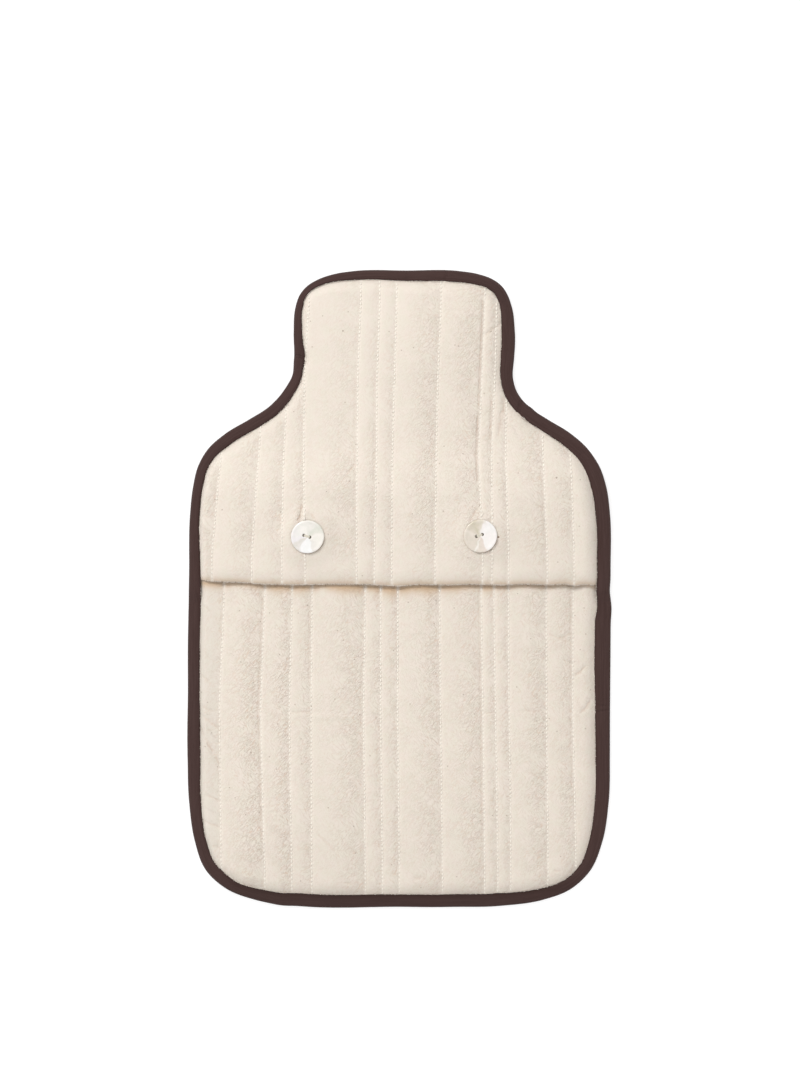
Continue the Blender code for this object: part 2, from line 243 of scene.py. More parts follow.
NOSE_LEAST = 0.15  # of the thickness, left at the very edge of a hem
NOSE_HEIGHT = 0.4  # of the thickness, where a hem's edge lies
RIM = 1.7  # from the outer edge to the cloth's own edge, inside the binding
BACK_RIM_Z = BINDING_WALL + GAP
LAYER = RIM_CLOTH + GAP
PANEL_LOW = -188.0  # where a panel's rows start and end; the flap's are counted from its hem
PANEL_HIGH = 190.0

# Fine shape of the quilting.
STITCH_TRENCH = 0.3  # how far the cloth rises beside a stitch line, and over what distance
STITCH_TRENCH_RUN = 1.3
ARCH_SLOPE = 0.21  # of a puff's round top, at its sides
ARCH_MOST = 1.7
FLAT_PUFF = 0.4  # share of that round top which a flatter puff has
OUTER_PUFF = 26.0  # width that the puffs outside the last lines would have
BACK_GROOVE = 0.7
BACK_GROOVE_RUN = 1.6

# Cavity as the cloth sags over it: slower to rise from the edges, and lower in the neck.
SAG_RUN = 60.0
SAG_POWER = 1.5
NECK_SAG = 0.3
NECK_FROM = 60.0
NECK_TO = 120.0
HEM_NOSE_RUN = 9.0  # length and lowest height of the flap's rounded front
HEM_NOSE_HEIGHT = 0.25
# Painted shade along and under the flap's hem: a warm, deeper colour where shade falls in the crevice.
HEM_EDGE_SHADE = 0.36  # how much deeper the colour is at the very edge of the hem, and how far that reaches up
HEM_EDGE_SHADE_RUN = 2.2
TUCK_SHADE = 0.8  # the same for the panel under it, down from the hem, with its reach at each x
TUCK_RUNS = ((-116.0, 3.5), (-58.0, 4.0), (0.0, 4.4), (50.0, 4.2), (62.0, 2.2), (116.0, 1.9))
TUCK_UNEVEN = ((0.35, 9.0, 31), (0.15, 2.5, 32))
TUCK_AT_HEM = 0.45  # share of that tint right at the hem, and how far below it the tint is full
TUCK_FULL = 2.2
HEM_DROOP = 1.5  # how deep the hem presses into the panel under it, and how far that shows below it
HEM_DROOP_RUN = 2.4

# Strength of the nap: on the left of the flap at each y, on the lower panel at each x, and on the back.
FLAP_NAP = ((0.0, 0.95), (60.0, 0.85), (130.0, 0.6), (190.0, 0.5))
LOWER_NAP = ((-108.0, 0.55), (-101.0, 1.15), (-66.0, 1.15), (-60.0, 0.95), (98.0, 1.05), (116.0, 1.05))
BACK_NAP = 0.8
NAP_FULL_FROM = -15.0  # x from which the flap's nap grows to its full strength, and over what distance
NAP_FULL_RUN = 50.0
HEM_NAP = 0.7  # share of the nap close to the flap's hem, up to this height, and how far it takes to be whole
HEM_NAP_TO = 8.0
HEM_NAP_RUN = 22.0
COOL_GREY_MOST = 0.32  # share of a cooler, greyer colour at the lower panel's left edge, from this x, and its run
COOL_GREY_FROM = -101.0
COOL_GREY_RUN = 10.0

PINCH_END_RUN = 6.0  # how far a pinch takes to fade out at its ends
PINCH_UNEVEN = (0.4, 3.0, 41)
# Sharp creases close to the left of a stitch line: which line, from one y to another, strength.
FLAP_PINCHES = (
    (8, 60.0, 92.0, 0.8),
    (8, 86.0, 106.0, 1.2),
    (8, 104.0, 174.0, 0.9),
    (9, 84.0, 116.0, 0.7),
    (10, 100.0, 114.0, 0.8),
    (3, 44.0, 56.0, 0.4),
    (4, 40.0, 120.0, 0.25),
    (5, 60.0, 130.0, 0.25),
    (11, 20.0, 70.0, 0.25),
)
LOWER_PINCHES = (
    (1, -150.0, 0.0, 0.45),
    (3, -60.0, -5.0, 0.3),
    (4, -110.0, 0.0, 0.25),
    (8, -150.0, 0.0, 0.4),
    (12, -120.0, 0.0, 0.35),
)

CREASE_OVERRUN = 0.3  # share of a crease's length by which it runs on at each end, and over which it fades
CREASE_FADE = 0.5
CREASE_RIDGE = 0.8  # size of the low ridges at its sides
FOLD_OVERRUN = 0.15  # the same for its sharp bottom
FOLD_FADE = 0.4
NO_FOLD = 99.0  # the distance that is stored where no crease is near
# Creases of the lower panel and the flap: from x, y, to x, y, half width, depth (less than 0 for a ridge).
LOWER_CREASES = (
    (-115.3, -9.7, -110.6, -13.3, 1.4, 0.35),
    (-108.9, -15.5, -105.3, -20.5, 1.6, 0.25),
    (-115.3, -35.7, -111.8, -41.0, 1.4, 0.25),
    (-116.5, -50.4, -111.8, -55.2, 1.5, 0.4),
    (-116.5, -69.3, -108.9, -72.3, 1.5, 0.35),
    (-115.9, -74.6, -105.3, -82.9, 1.5, 0.4),
    (-116.8, -81.7, -113.8, -88.8, 1.6, 0.5),
    (-113.8, -88.8, -109.5, -96.6, 1.8, 0.75),
    (-109.5, -96.6, -105.3, -104.1, 1.8, 0.6),
    (-113.6, -121.2, -104.7, -125.4, 1.6, 0.4),
    (-115.3, -136.6, -105.3, -140.7, 1.6, 0.45),
    (-110.0, -151.3, -105.9, -151.9, 1.4, 0.3),
    (-110.5, -103.0, -113.0, -95.0, 3.0, -0.3),
    (-64.0, -72.3, -51.0, -72.3, 1.5, 0.4),
    (-51.0, -75.2, -28.6, -75.2, 2.0, -0.3),
    (-48.1, -143.7, -37.5, -154.3, 1.6, 0.35),
    (-32.7, -173.2, -28.0, -173.2, 1.5, 0.4),
    (55.2, -31.0, 67.0, -31.0, 1.8, -0.3),
    (86.4, -25.7, 101.2, -31.6, 1.6, 0.35),
    (71.7, -71.7, 83.5, -71.7, 1.5, 0.35),
    (49.3, -72.3, 56.9, -72.3, 1.5, 0.35),
    (104.1, -51.0, 110.0, -45.7, 1.5, 0.7),
    (106.5, -72.9, 110.6, -69.9, 1.5, 0.7),
    (110.6, -69.9, 113.0, -65.2, 1.5, 0.6),
    (109.4, -36.3, 109.4, -41.0, 1.4, 0.3),
    (95.3, -29.2, 101.2, -25.7, 1.4, 0.45),
    (75.8, -107.1, 86.4, -113.0, 1.6, 0.35),
    (52.2, -152.5, 65.8, -152.5, 1.8, -0.3),
    (8.6, -170.2, 13.3, -170.2, 1.5, 0.4),
    (91.2, -166.1, 95.9, -166.1, 1.5, 0.4),
)
FLAP_CREASES = (
    (50.5, 149.5, 59.5, 156.5, 1.5, 0.5),
    (61.1, 108.3, 58.7, 89.4, 1.5, 0.5),
    (71.1, 101.8, 78.2, 97.1, 1.6, 0.4),
    (-30.4, 68.1, -25.7, 73.2, 1.3, 0.5),
)
# Creases that each button pulls into the cloth round it, given in the same way.
PULLS = (
    (-57.0, 49.0, -57.6, 44.5, 1.1, 0.9),
    (-57.6, 44.5, -59.1, 40.0, 1.2, 1.3),
    (-55.2, 45.6, -54.8, 41.0, 1.6, -0.9),
    (-51.8, 44.6, -49.2, 41.0, 1.5, 0.5),
    (45.9, 48.0, 42.4, 41.6, 1.2, 0.6),
    (55.6, 44.0, 53.2, 39.8, 1.2, 0.4),
)

# Cells of the fine meshes.
CELL = 1.15
ROW = 1.04
HIDDEN_ROW = 3.0
OPEN_TO = 6.0  # y up to which the lower panel has fine rows, just under the flap
BACK_CELL = 2.2
BESIDE_LINE = (0.45, 1.1)  # columns close to both sides of a stitch line
HEM_ROWS = (0.0, 0.12, 0.4, 0.85, 1.5, 2.3, 3.2, 4.2, 5.3, 6.5)

STITCH_PITCH = 2.42
STITCH_LENGTH = 1.75
STITCH_WIDTH = 1.1
STITCH_HEIGHT = 0.6

# Name: turn of its two holes in degrees, the place of their middle on it, and its shift to the right.
BUTTONS = {"button_left": (-17.0, (-0.5, 0.2), 0.0), "button_right": (18.0, (-0.4, 0.6), -0.5)}
BUTTON_RADIUS = 9.8
HOLE_RADIUS = 0.9
HOLE_SPACING = 3.5
SEAT_RISE = 1.1  # how far the cloth swells up beside a button
SEAT_LEAN = 0.45  # how much more at the button's upper left
SEAT_RUN = 7.0  # how far from it
SEAT_GAP = 0.1  # between the button and the cloth pressed down under it
SEAT_DIP = 0.5  # how much lower the cloth is under the button's middle, and how far round that
SEAT_DIP_RUN = 5.0
SEAT_INSET = 1.4  # from the button's edge inwards to where the cloth starts to rise, and over what distance
SEAT_BLEND = 1.3

LIGHT = 1.345  # light on a level surface, where 1 shows a white as white


def shown(red, green, blue, gloss=0.0):
    """The colour that shows as this one, from 0 to 255, in the studio's light, less what glances off it."""
    levels = [level / 255 for level in (red, green, blue)]
    linear = [((level + 0.055) / 1.055) ** 2.4 for level in levels]
    return tuple((level - gloss) / LIGHT for level in linear)


FLOOR_COLOUR = (0.5, 0.5, 0.5)
CREAM_PINK = shown(236.9, 225.5, 213)
CREAM_GREEN = shown(234.9, 226, 211.5)
# painted highlight: a lighter cream laid along each stitch line, against the shade of the trench beside it
LINE_HIGHLIGHT = shown(248, 237, 224)
# a cooler, greyer cream for the lower panel's left edge
COOL_GREY = shown(222, 216, 205)
# darker tone of the nap's strokes, also the colour of painted shade on the puffs' right sides and in the
# creases
NAP_TONE_AND_SHADE = shown(214, 183, 161)
# warm painted shade in the crevice under the flap's hem and along its edge
CREVICE_SHADE = shown(199, 156, 104)
FLECK = shown(140, 118, 98)
THREAD = shown(255, 247, 234)
SEWING = shown(226, 219, 202)
BROWN = shown(70.5, 53, 50, 0.005)
BROWN_PALE = shown(82, 63.5, 60.5, 0.005)
# painted shade on the binding along the bottom, strongest beside its lip
BROWN_SHADED = shown(60, 45, 42, 0.005)


# ---------------------------------------------------------------- outline


def closed_curve(points, step=0.5):
    """A fine polyline along a smooth closed curve through the points."""
    after = np.roll(points, -1, axis=0)
    reach = np.linalg.norm(after - points, axis=1)[:, None]
    back = np.roll(reach, 1, axis=0)
    ahead = (after - points) / reach
    tangent = (np.roll(ahead, 1, axis=0) * reach + ahead * back) / (reach + back)
    curve = []
    for n, (start, end) in enumerate(zip(points, after)):
        length = reach[n, 0]
        leave = tangent[n] * length
        arrive = tangent[(n + 1) % len(points)] * length
        for u in np.arange(0.0, 1.0 - 0.5 * step / length, step / length):
            curve.append(
                start * (2 * u**3 - 3 * u**2 + 1)
                + leave * (u**3 - 2 * u**2 + u)
                + end * (3 * u**2 - 2 * u**3)
                + arrive * (u**3 - u**2)
            )
    return np.array(curve)


def inward_normals(curve):
    along = np.roll(curve, -1, axis=0) - np.roll(curve, 1, axis=0)
    along /= np.linalg.norm(along, axis=1)[:, None]
    return np.stack([along[:, 1], -along[:, 0]], axis=1)


def run_along(curve):
    """Distance along the closed curve to each of its points, and its whole length."""
    steps = np.linalg.norm(np.roll(curve, -1, axis=0) - curve, axis=1)
    total = np.cumsum(steps)
    return total - steps, total[-1]


def nearest_on(curve, x, y):
    return int(np.argmin(np.hypot(curve[:, 0] - x, curve[:, 1] - y)))


def outline():
    """The outer edge of the binding, clockwise, as a fine polyline with its small strays."""
    half = np.array(HALF_OUTLINE)
    left = half[-2:0:-1] * (-1.0, 1.0)
    points = np.concatenate([half, left])
    lean_y, lean_x = np.array(LEAN).T
    points[:, 0] += np.interp(points[:, 1], lean_y, lean_x)
    curve = closed_curve(points)
    inward = inward_normals(curve)
    run, length = run_along(curve)
    shift = np.zeros(len(curve))
    for x, y, outwards, reach in EDGE_STRAYS:
        away = run - run[nearest_on(curve, x, y)]
        away = (away + length / 2) % length - length / 2
        shift += outwards * np.exp(-((away / reach) ** 2))
    return curve - inward * shift[:, None]


def lip_widths(curve):
    """Visible width of the binding at each point of the outline."""
    run, length = run_along(curve)
    rows = sorted((run[nearest_on(curve, x, y)], width) for x, y, width in BINDING_WIDTHS)
    places, widths = np.array(rows).T
    return np.interp(run, places, widths, period=length)


def tree_of(curve):
    tree = kdtree.KDTree(len(curve))
    for n, (x, y) in enumerate(curve):
        tree.insert((x, y, 0.0), n)
    tree.balance()
    return tree


EDGE = outline()
INWARD = inward_normals(EDGE)
RUN, LENGTH = run_along(EDGE)
LIP = lip_widths(EDGE)
TREE = tree_of(EDGE)


def from_edge(points):
    """For each point: its distance inside the outer edge, and the nearest place on that edge."""
    nearest = np.array([TREE.find((x, y, 0.0))[1] for x, y in points])
    return np.sum((points - EDGE[nearest]) * INWARD[nearest], axis=1), nearest


def inside_of(points):
    """For each point: its distance from the binding's lip, 0 under it, and how far the cloth has swelled."""
    depth, nearest = from_edge(points)
    inside = np.maximum(depth - LIP[nearest] - GAP, 0.0)
    left = np.clip(INWARD[nearest, 0], 0.0, 1.0)
    run = SWELL_RUN + (LEFT_SWELL_RUN - SWELL_RUN) * left
    return inside, ease(inside / run)


# ---------------------------------------------------------------- shape functions


def ease(share):
    """0 to 1, steep at first and level at the end."""
    return 1.0 - (1.0 - np.clip(share, 0.0, 1.0)) ** 2


def smooth(share):
    share = np.clip(share, 0.0, 1.0)
    return share * share * (3.0 - 2.0 * share)


def bump_round(share, least):
    """A quarter of a circle, from `least` up to 1."""
    return np.maximum(least, np.sqrt(1.0 - (1.0 - np.clip(share, 0.0, 1.0)) ** 2))


def wander(points, size, seed):
    """Smooth noise from -1 to 1, with its bumps about `size` apart."""
    cells = 256
    lattice = np.random.default_rng(seed).uniform(-1.0, 1.0, (cells, cells))
    place = points / size
    low = np.floor(place).astype(int)
    share = smooth(place - low)
    x0, y0 = (low % cells).T
    x1, y1 = ((low + 1) % cells).T
    under = lattice[x0, y0] * (1 - share[:, 0]) + lattice[x1, y0] * share[:, 0]
    over = lattice[x0, y1] * (1 - share[:, 0]) + lattice[x1, y1] * share[:, 0]
    return under * (1 - share[:, 1]) + over * share[:, 1]


def uneven(points, *waves):
    """A sum of smooth noises, each given by its strength, size and seed."""
    return sum(strength * wander(points, size, seed) for strength, size, seed in waves)


class Quilting:
    """Stitch lines of one panel, and the way from a space in which they are straight to the panel."""

    FAR = 200.0

    def __init__(self, lines, levels, edge=((0.0, 0.0),), flat_puffs=(), pinches=()):
        self.levels = levels
        self.rows = np.array(lines)
        self.straight = self.rows.mean(axis=1)
        self.edge_x, self.edge_y = np.array(edge).T
        self.pinches = pinches
        self.fullness = np.ones(len(lines) + 1)
        self.fullness[list(flat_puffs)] = FLAT_PUFF

    def lines_at(self, y):
        return np.array([np.interp(y, self.levels, row) for row in self.rows])

    def edge_at(self, x):
        return np.interp(x, self.edge_x, self.edge_y)

    def place(self, across, up):
        """Points on the panel, from places across the straight lines and heights above the panel's edge."""
        straight = np.concatenate([[-self.FAR], self.straight, [self.FAR]])
        left = np.clip(np.searchsorted(straight, across, side="right") - 1, 0, len(straight) - 2)
        share = (across - straight[left]) / (straight[left + 1] - straight[left])
        each = np.arange(len(across))
        far = np.full((1, len(across)), self.FAR)
        x = across
        for _ in range(4):
            y = up + self.edge_at(x)
            lines = np.concatenate([-far, self.lines_at(y), far])
            x = lines[left, each] * (1 - share) + lines[left + 1, each] * share
        return np.column_stack([x, y])

    def sides(self, points):
        """For each point: how many lines lie to its left, and the distances to the lines at both sides."""
        offset = points[:, 0] - self.lines_at(points[:, 1])
        count = (offset >= 0.0).sum(axis=0)
        each = np.arange(len(points))
        last = len(self.straight) - 1
        to_left = offset[np.clip(count - 1, 0, last), each]
        to_right = -offset[np.clip(count, 0, last), each]
        to_left = np.where(count == 0, np.maximum(OUTER_PUFF - to_right, 0.0), to_left)
        to_right = np.where(count == last + 1, np.maximum(OUTER_PUFF - to_left, 0.0), to_right)
        return count, to_left, to_right

    def pinched(self, points):
        """Strength of the sharp creases to the left of the stitch lines."""
        count, to_left, to_right = self.sides(points)
        y = points[:, 1]
        strength = np.zeros(len(points))
        for line, low, high, most in self.pinches:
            ends = smooth((y - low) / PINCH_END_RUN) * smooth((high - y) / PINCH_END_RUN)
            strength = np.maximum(strength, most * ends * (count == line) * (to_right < to_left))
        return strength * (1.0 + uneven(points, PINCH_UNEVEN))

    def cloth(self, points):
        """Thickness of the quilted cloth, with round puffs between the stitch lines."""
        count, to_left, to_right = self.sides(points)
        width = to_left + to_right
        trench = STITCH_TRENCH * (1.0 - np.exp(-np.minimum(to_left, to_right) / STITCH_TRENCH_RUN))
        crown = np.minimum(ARCH_SLOPE * width / 4, ARCH_MOST) * self.fullness[count]
        return GROOVE_CLOTH + trench + crown * 4 * to_left * to_right / width**2

    def columns(self, cell):
        """Cuts on each stitch line, close to both of its sides, and evenly between."""
        reach = BESIDE_LINE[-1]
        ends = np.concatenate([[-self.FAR * 0.65], self.straight, [self.FAR * 0.65]])
        cuts = []
        for left, right in zip(ends, ends[1:]):
            count = max(2, round((right - left - 2 * reach) / cell) + 1)
            cuts += [left, *(left + beside for beside in BESIDE_LINE[:-1])]
            cuts += list(np.linspace(left + reach, right - reach, count))
            cuts += [right - beside for beside in BESIDE_LINE[-2::-1]]
        return np.array([*cuts, ends[-1]])


FLAP = Quilting(FLAP_LINES, FLAP_LEVELS, HEM, flat_puffs=[4], pinches=FLAP_PINCHES)
LOWER = Quilting(LOWER_LINES, LOWER_LEVELS, pinches=LOWER_PINCHES)
BACK = Quilting([[sum(row) / len(row)] * 2 for row in LOWER_LINES], (-190.0, 190.0))


# ---------------------------------------------------------------- panels


class Plan:
    """A panel cut out flat: a fine grid whose columns follow the stitch lines, trimmed inside the binding."""

    def __init__(self, quilting, columns, rows):
        up, across = np.meshgrid(rows, columns, indexing="ij")
        points = quilting.place(across.ravel(), up.ravel())
        depth, nearest = from_edge(points)
        kept = (depth >= RIM).reshape(up.shape)
        cells = kept[:-1, :-1] & kept[1:, :-1] & kept[:-1, 1:] & kept[1:, 1:]
        index = np.arange(up.size).reshape(up.shape)
        corners = (index[:-1, :-1], index[:-1, 1:], index[1:, 1:], index[1:, :-1])
        quads = np.stack([corner[cells] for corner in corners], axis=1)
        used, quads = np.unique(quads, return_inverse=True)
        self.quads = quads.reshape(-1, 4)
        self.rim = self.boundary()
        self.points = points[used]
        self.trim(depth[used], nearest[used], np.diff(rows).max())

    def boundary(self):
        """The directed edges that only one cell has."""
        start = self.quads.ravel()
        end = np.roll(self.quads, -1, axis=1).ravel()
        size = self.quads.max() + 1
        single = ~np.isin(start * size + end, end * size + start)
        return np.stack([start[single], end[single]], axis=1)

    def trim(self, depth, nearest, reach):
        """Moves the rim of the grid out to the cloth's own edge."""
        rim = np.unique(self.rim)
        rim = rim[depth[rim] < RIM + 1.5 * reach]
        self.points[rim] -= INWARD[nearest[rim]] * (depth[rim] - RIM)[:, None]


def mesh_object(name, points, faces, finish):
    """An object of one mesh, from points in millimetres."""
    mesh = bpy.data.meshes.new(name)
    mesh.from_pydata((points * MM).tolist(), [], faces)
    mesh.materials.append(finish)
    mesh.shade_smooth()
    made = bpy.data.objects.new(name, mesh)
    bpy.context.collection.objects.link(made)
    return made


def add_attribute(made, name, values):
    """Stores a number for each point, for the materials to read."""
    stored = made.data.attributes.new(name, "FLOAT", "POINT")
    stored.data.foreach_set("value", np.asarray(values, np.float32))


def add_to_both(made, name, values):
    """Stores a number for each point of a slab's flat mesh, on its upper and its under side."""
    add_attribute(made, name, np.tile(values, 2))


def add_slab(name, plan, top, bottom, quilting, finish):
    """A sheet of cloth between two heights over the same flat mesh."""
    count = len(plan.points)
    upper = np.column_stack([plan.points, top])
    lower = np.column_stack([plan.points, bottom])
    under = plan.quads[:, ::-1] + count
    walls = np.column_stack([plan.rim[:, ::-1], plan.rim + count])
    faces = np.concatenate([plan.quads, under, walls])
    made = mesh_object(name, np.concatenate([upper, lower]), faces.tolist(), finish)
    add_line_attributes(made, plan.points, quilting)
    return made


def line_phase(count):
    """Where along its length each stitch line starts its stitches."""
    return STITCH_PITCH * ((count * 0.37) % 1.0)


def add_line_attributes(made, points, quilting):
    """Stores where each point is among the stitch lines and their stitches."""
    count, to_left, to_right = quilting.sides(points)
    line = np.where(to_left < to_right, count - 1, count)
    for name, values in (
        ("off_line", np.minimum(to_left, to_right)),
        ("along_line", points[:, 1] - line_phase(line)),
        ("puff_share", to_left / (to_left + to_right)),
        ("pinch", quilting.pinched(points)),
    ):
        add_to_both(made, name, values)


def back_top(swell):
    """Height of the back panel's upper side."""
    full = FULL_CLOTH - BACK_RIM_Z - RIM_CLOTH
    return BACK_RIM_Z + RIM_CLOTH + full * swell


def room_top(points, inside, swell):
    """Height of the top of the room inside the cover."""
    risen = 1.0 - (1.0 - np.clip(inside / SAG_RUN, 0.0, 1.0)) ** SAG_POWER
    neck = smooth((points[:, 1] - NECK_FROM) / (NECK_TO - NECK_FROM))
    return back_top(swell) + GAP + CAVITY * (1.0 - NECK_SAG * neck) * risen


def beside_crease(points, x0, y0, x1, y1):
    """For each point: how far along the crease it is, from 0 to 1, and its distance to the left of it."""
    length = math.hypot(x1 - x0, y1 - y0)
    along = np.array((x1 - x0, y1 - y0)) / length
    offset = points - (x0, y0)
    return offset @ along / length, offset @ (-along[1], along[0])


def crease_ends(share, overrun, fade):
    return smooth((share + overrun) / fade) * smooth((1.0 + overrun - share) / fade)


def creased(points, top, creases):
    """Presses soft troughs into the cloth, with a low ridge along both of their sides."""
    for *course, width, depth in creases:
        share, off = beside_crease(points, *course)
        across = off / width
        ends = crease_ends(share, CREASE_OVERRUN, CREASE_FADE)
        top = top - depth * ends * (1.0 - CREASE_RIDGE * across**2) * np.exp(-(across**2))
    return top


def add_folds(made, points, creases):
    """Stores how far the nearest crease is and how strong, for the material to draw its sharp bottom in
    relief and in painted shade.
    """
    nearest = np.full(len(points), NO_FOLD)
    strength = np.zeros(len(points))
    for *course, _, depth in creases:
        share, off = beside_crease(points, *course)
        on_course = (share > -CREASE_OVERRUN) & (share < 1.0 + CREASE_OVERRUN)
        nearer = (depth > 0.0) & (np.abs(off) < np.abs(nearest)) & on_course
        nearest[nearer] = off[nearer]
        strength[nearer] = (depth * crease_ends(share, FOLD_OVERRUN, FOLD_FADE))[nearer]
    add_to_both(made, "off_fold", nearest)
    add_to_both(made, "fold", strength)


def thinned(cloth, swell):
    """Cloth that is squeezed thin as it goes under the binding."""
    return RIM_CLOTH + (cloth - RIM_CLOTH) * swell


def hem_droop(from_hem, swell):
    """How far the hem sinks into the panel under it, and that panel with it."""
    above = (1.0 - np.clip(from_hem / HEM_NOSE_RUN, 0.0, 1.0)) ** 2
    below = np.exp(-((np.minimum(from_hem, 0.0) / HEM_DROOP_RUN) ** 2))
    return HEM_DROOP * above * below * swell


def over_pocket(y):
    """1 where the flap lies on the lower panel, down to 0 towards the neck."""
    return 1.0 - smooth((y - POCKET_TOP - STEP_CLEAR) / STEP_RUN)


def hem_nose(middle, top, bottom, run, nose_run):
    """Rounds the two sides of a hem towards its edge, at `run` from the edge."""
    top = middle + (top - middle) * bump_round(run / nose_run, NOSE_LEAST)
    bottom = middle + (bottom - middle) * bump_round(run / NOSE_UNDER_RUN, NOSE_LEAST)
    return top, bottom


def back_heights(points):
    """Heights of the back panel's two sides."""
    inside, swell = inside_of(points)
    _, to_left, to_right = BACK.sides(points)
    groove = np.exp(-((np.minimum(to_left, to_right) / BACK_GROOVE_RUN) ** 2))
    lying = np.clip(inside / BACK_LIFT_RUN, 0.0, 1.0)
    bottom = BACK_RIM_Z * (1.0 - lying) ** 2 + BACK_GROOVE * groove * lying
    return back_top(swell), bottom


def lower_heights(points):
    """Heights of the lower panel's two sides."""
    inside, swell = inside_of(points)
    thick = thinned(LOWER.cloth(points), swell)
    bottom = room_top(points, inside, swell)
    middle = bottom + NOSE_HEIGHT * thick
    top = creased(points, bottom + thick, LOWER_CREASES)
    top -= hem_droop(points[:, 1] - FLAP.edge_at(points[:, 0]), swell)
    return hem_nose(middle, top, bottom, POCKET_TOP - points[:, 1], NOSE_RUN)


def flap_heights(points):
    """Heights of the flap's two sides."""
    inside, swell = inside_of(points)
    pocket = thinned(FULL_CLOTH, swell) + GAP + FLAP_SLACK * swell
    bottom = room_top(points, inside, swell) + over_pocket(points[:, 1]) * pocket
    thick = thinned(FLAP.cloth(points), swell)
    from_hem = points[:, 1] - FLAP.edge_at(points[:, 0])
    bottom -= hem_droop(from_hem, swell)
    middle = bottom + HEM_NOSE_HEIGHT * thick
    top = creased(points, bottom + thick, FLAP_CREASES)
    top, bottom = hem_nose(middle, top, bottom, from_hem, HEM_NOSE_RUN)
    return creased(points, under_buttons(points, top), PULLS), bottom


def under_buttons(points, top):
    """Presses the cloth down under each button, and lets it swell up against the button's rim."""
    for name in BUTTONS:
        low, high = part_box(name)
        x, y = (low.x + high.x) / 2 / MM, (low.y + high.y) / 2 / MM
        away = np.hypot(points[:, 0] - x, points[:, 1] - y)
        around = np.exp(-((np.maximum(away - BUTTON_RADIUS, 0.0) / SEAT_RUN) ** 2))
        upper_left = ((points[:, 1] - y) - (points[:, 0] - x)) / np.maximum(away, BUTTON_RADIUS)
        lean = SEAT_LEAN * upper_left / math.sqrt(2)
        top = top + np.maximum(low.z / MM + SEAT_RISE + lean - top, 0.0) * around
        dip = SEAT_DIP * np.exp(-((away / SEAT_DIP_RUN) ** 2))
        pressed = np.minimum(top, low.z / MM - SEAT_GAP - dip)
        top = pressed + (top - pressed) * smooth((away - BUTTON_RADIUS + SEAT_INSET) / SEAT_BLEND)
    return top


def make_back(cotton):
    plan = Plan(BACK, BACK.columns(BACK_CELL), np.arange(PANEL_LOW, PANEL_HIGH, BACK_CELL))
    top, bottom = back_heights(plan.points)
    made = add_slab("cloth_back", plan, top, bottom, BACK, cotton)
    add_to_both(made, "nap", np.full(len(plan.points), BACK_NAP))
    add_folds(made, plan.points, ())
    return made


def crevice_shade_share(points):
    """Painted shade: how much deeper the colour of the lower panel is in the crease under the hem."""
    below = FLAP.edge_at(points[:, 0]) - points[:, 1]
    x = np.column_stack([points[:, 0], np.zeros(len(points))])
    run = np.interp(points[:, 0], *zip(*TUCK_RUNS)) * (1.0 + uneven(x, *TUCK_UNEVEN))
    clear = TUCK_AT_HEM + (1.0 - TUCK_AT_HEM) * smooth(below / TUCK_FULL)
    return TUCK_SHADE * np.exp(-((below / run) ** 2)) * clear


def make_lower(cotton):
    in_sight = np.arange(PANEL_LOW, OPEN_TO, ROW)
    hidden = np.arange(OPEN_TO, POCKET_TOP - HEM_ROWS[-1], HIDDEN_ROW)
    rows = np.concatenate([in_sight, hidden, [POCKET_TOP - run for run in HEM_ROWS[::-1]]])
    plan = Plan(LOWER, LOWER.columns(CELL), rows)
    top, bottom = lower_heights(plan.points)
    made = add_slab("cloth_lower", plan, top, bottom, LOWER, cotton)
    add_to_both(made, "crevice_shade", crevice_shade_share(plan.points))
    add_to_both(made, "nap", np.interp(plan.points[:, 0], *zip(*LOWER_NAP)))
    add_to_both(made, "cool_grey", COOL_GREY_MOST * smooth((COOL_GREY_FROM - plan.points[:, 0]) / COOL_GREY_RUN))
    add_folds(made, plan.points, LOWER_CREASES)
    return made


def make_flap(cotton):
    rows = np.concatenate([HEM_ROWS, np.arange(HEM_ROWS[-1] + ROW, PANEL_HIGH, ROW)])
    plan = Plan(FLAP, FLAP.columns(CELL), rows)
    top, bottom = flap_heights(plan.points)
    made = add_slab("cloth_flap", plan, top, bottom, FLAP, cotton)
    from_hem = plan.points[:, 1] - FLAP.edge_at(plan.points[:, 0])
    # painted shade along the flap's hem
    add_to_both(made, "crevice_shade", HEM_EDGE_SHADE * np.exp(-((from_hem / HEM_EDGE_SHADE_RUN) ** 2)))
    left = np.interp(plan.points[:, 1], *zip(*FLAP_NAP))
    right = smooth((plan.points[:, 0] - NAP_FULL_FROM) / NAP_FULL_RUN)
    pressed = HEM_NAP + (1.0 - HEM_NAP) * smooth((from_hem - HEM_NAP_TO) / HEM_NAP_RUN)
    add_to_both(made, "nap", (left + (1.0 - left) * right) * pressed)
    add_folds(made, plan.points, FLAP_CREASES + PULLS)
    return made


# ---------------------------------------------------------------- binding

FOLD = 2.2  # from the outer edge to where the strip lies flat
BULGE = 0.5  # how far the strip's round side swells beyond the outer edge
CROWN = (  # the strip's upper side: share of the way to its lip, height over its flat
    (0.0, -0.25),
    (0.2, 0.0),
    (0.45, 0.2),
    (0.7, 0.15),
    (0.84, -0.1),
    (0.93, -0.4),
    (0.98, -0.75),
    (1.0, -1.0),
)
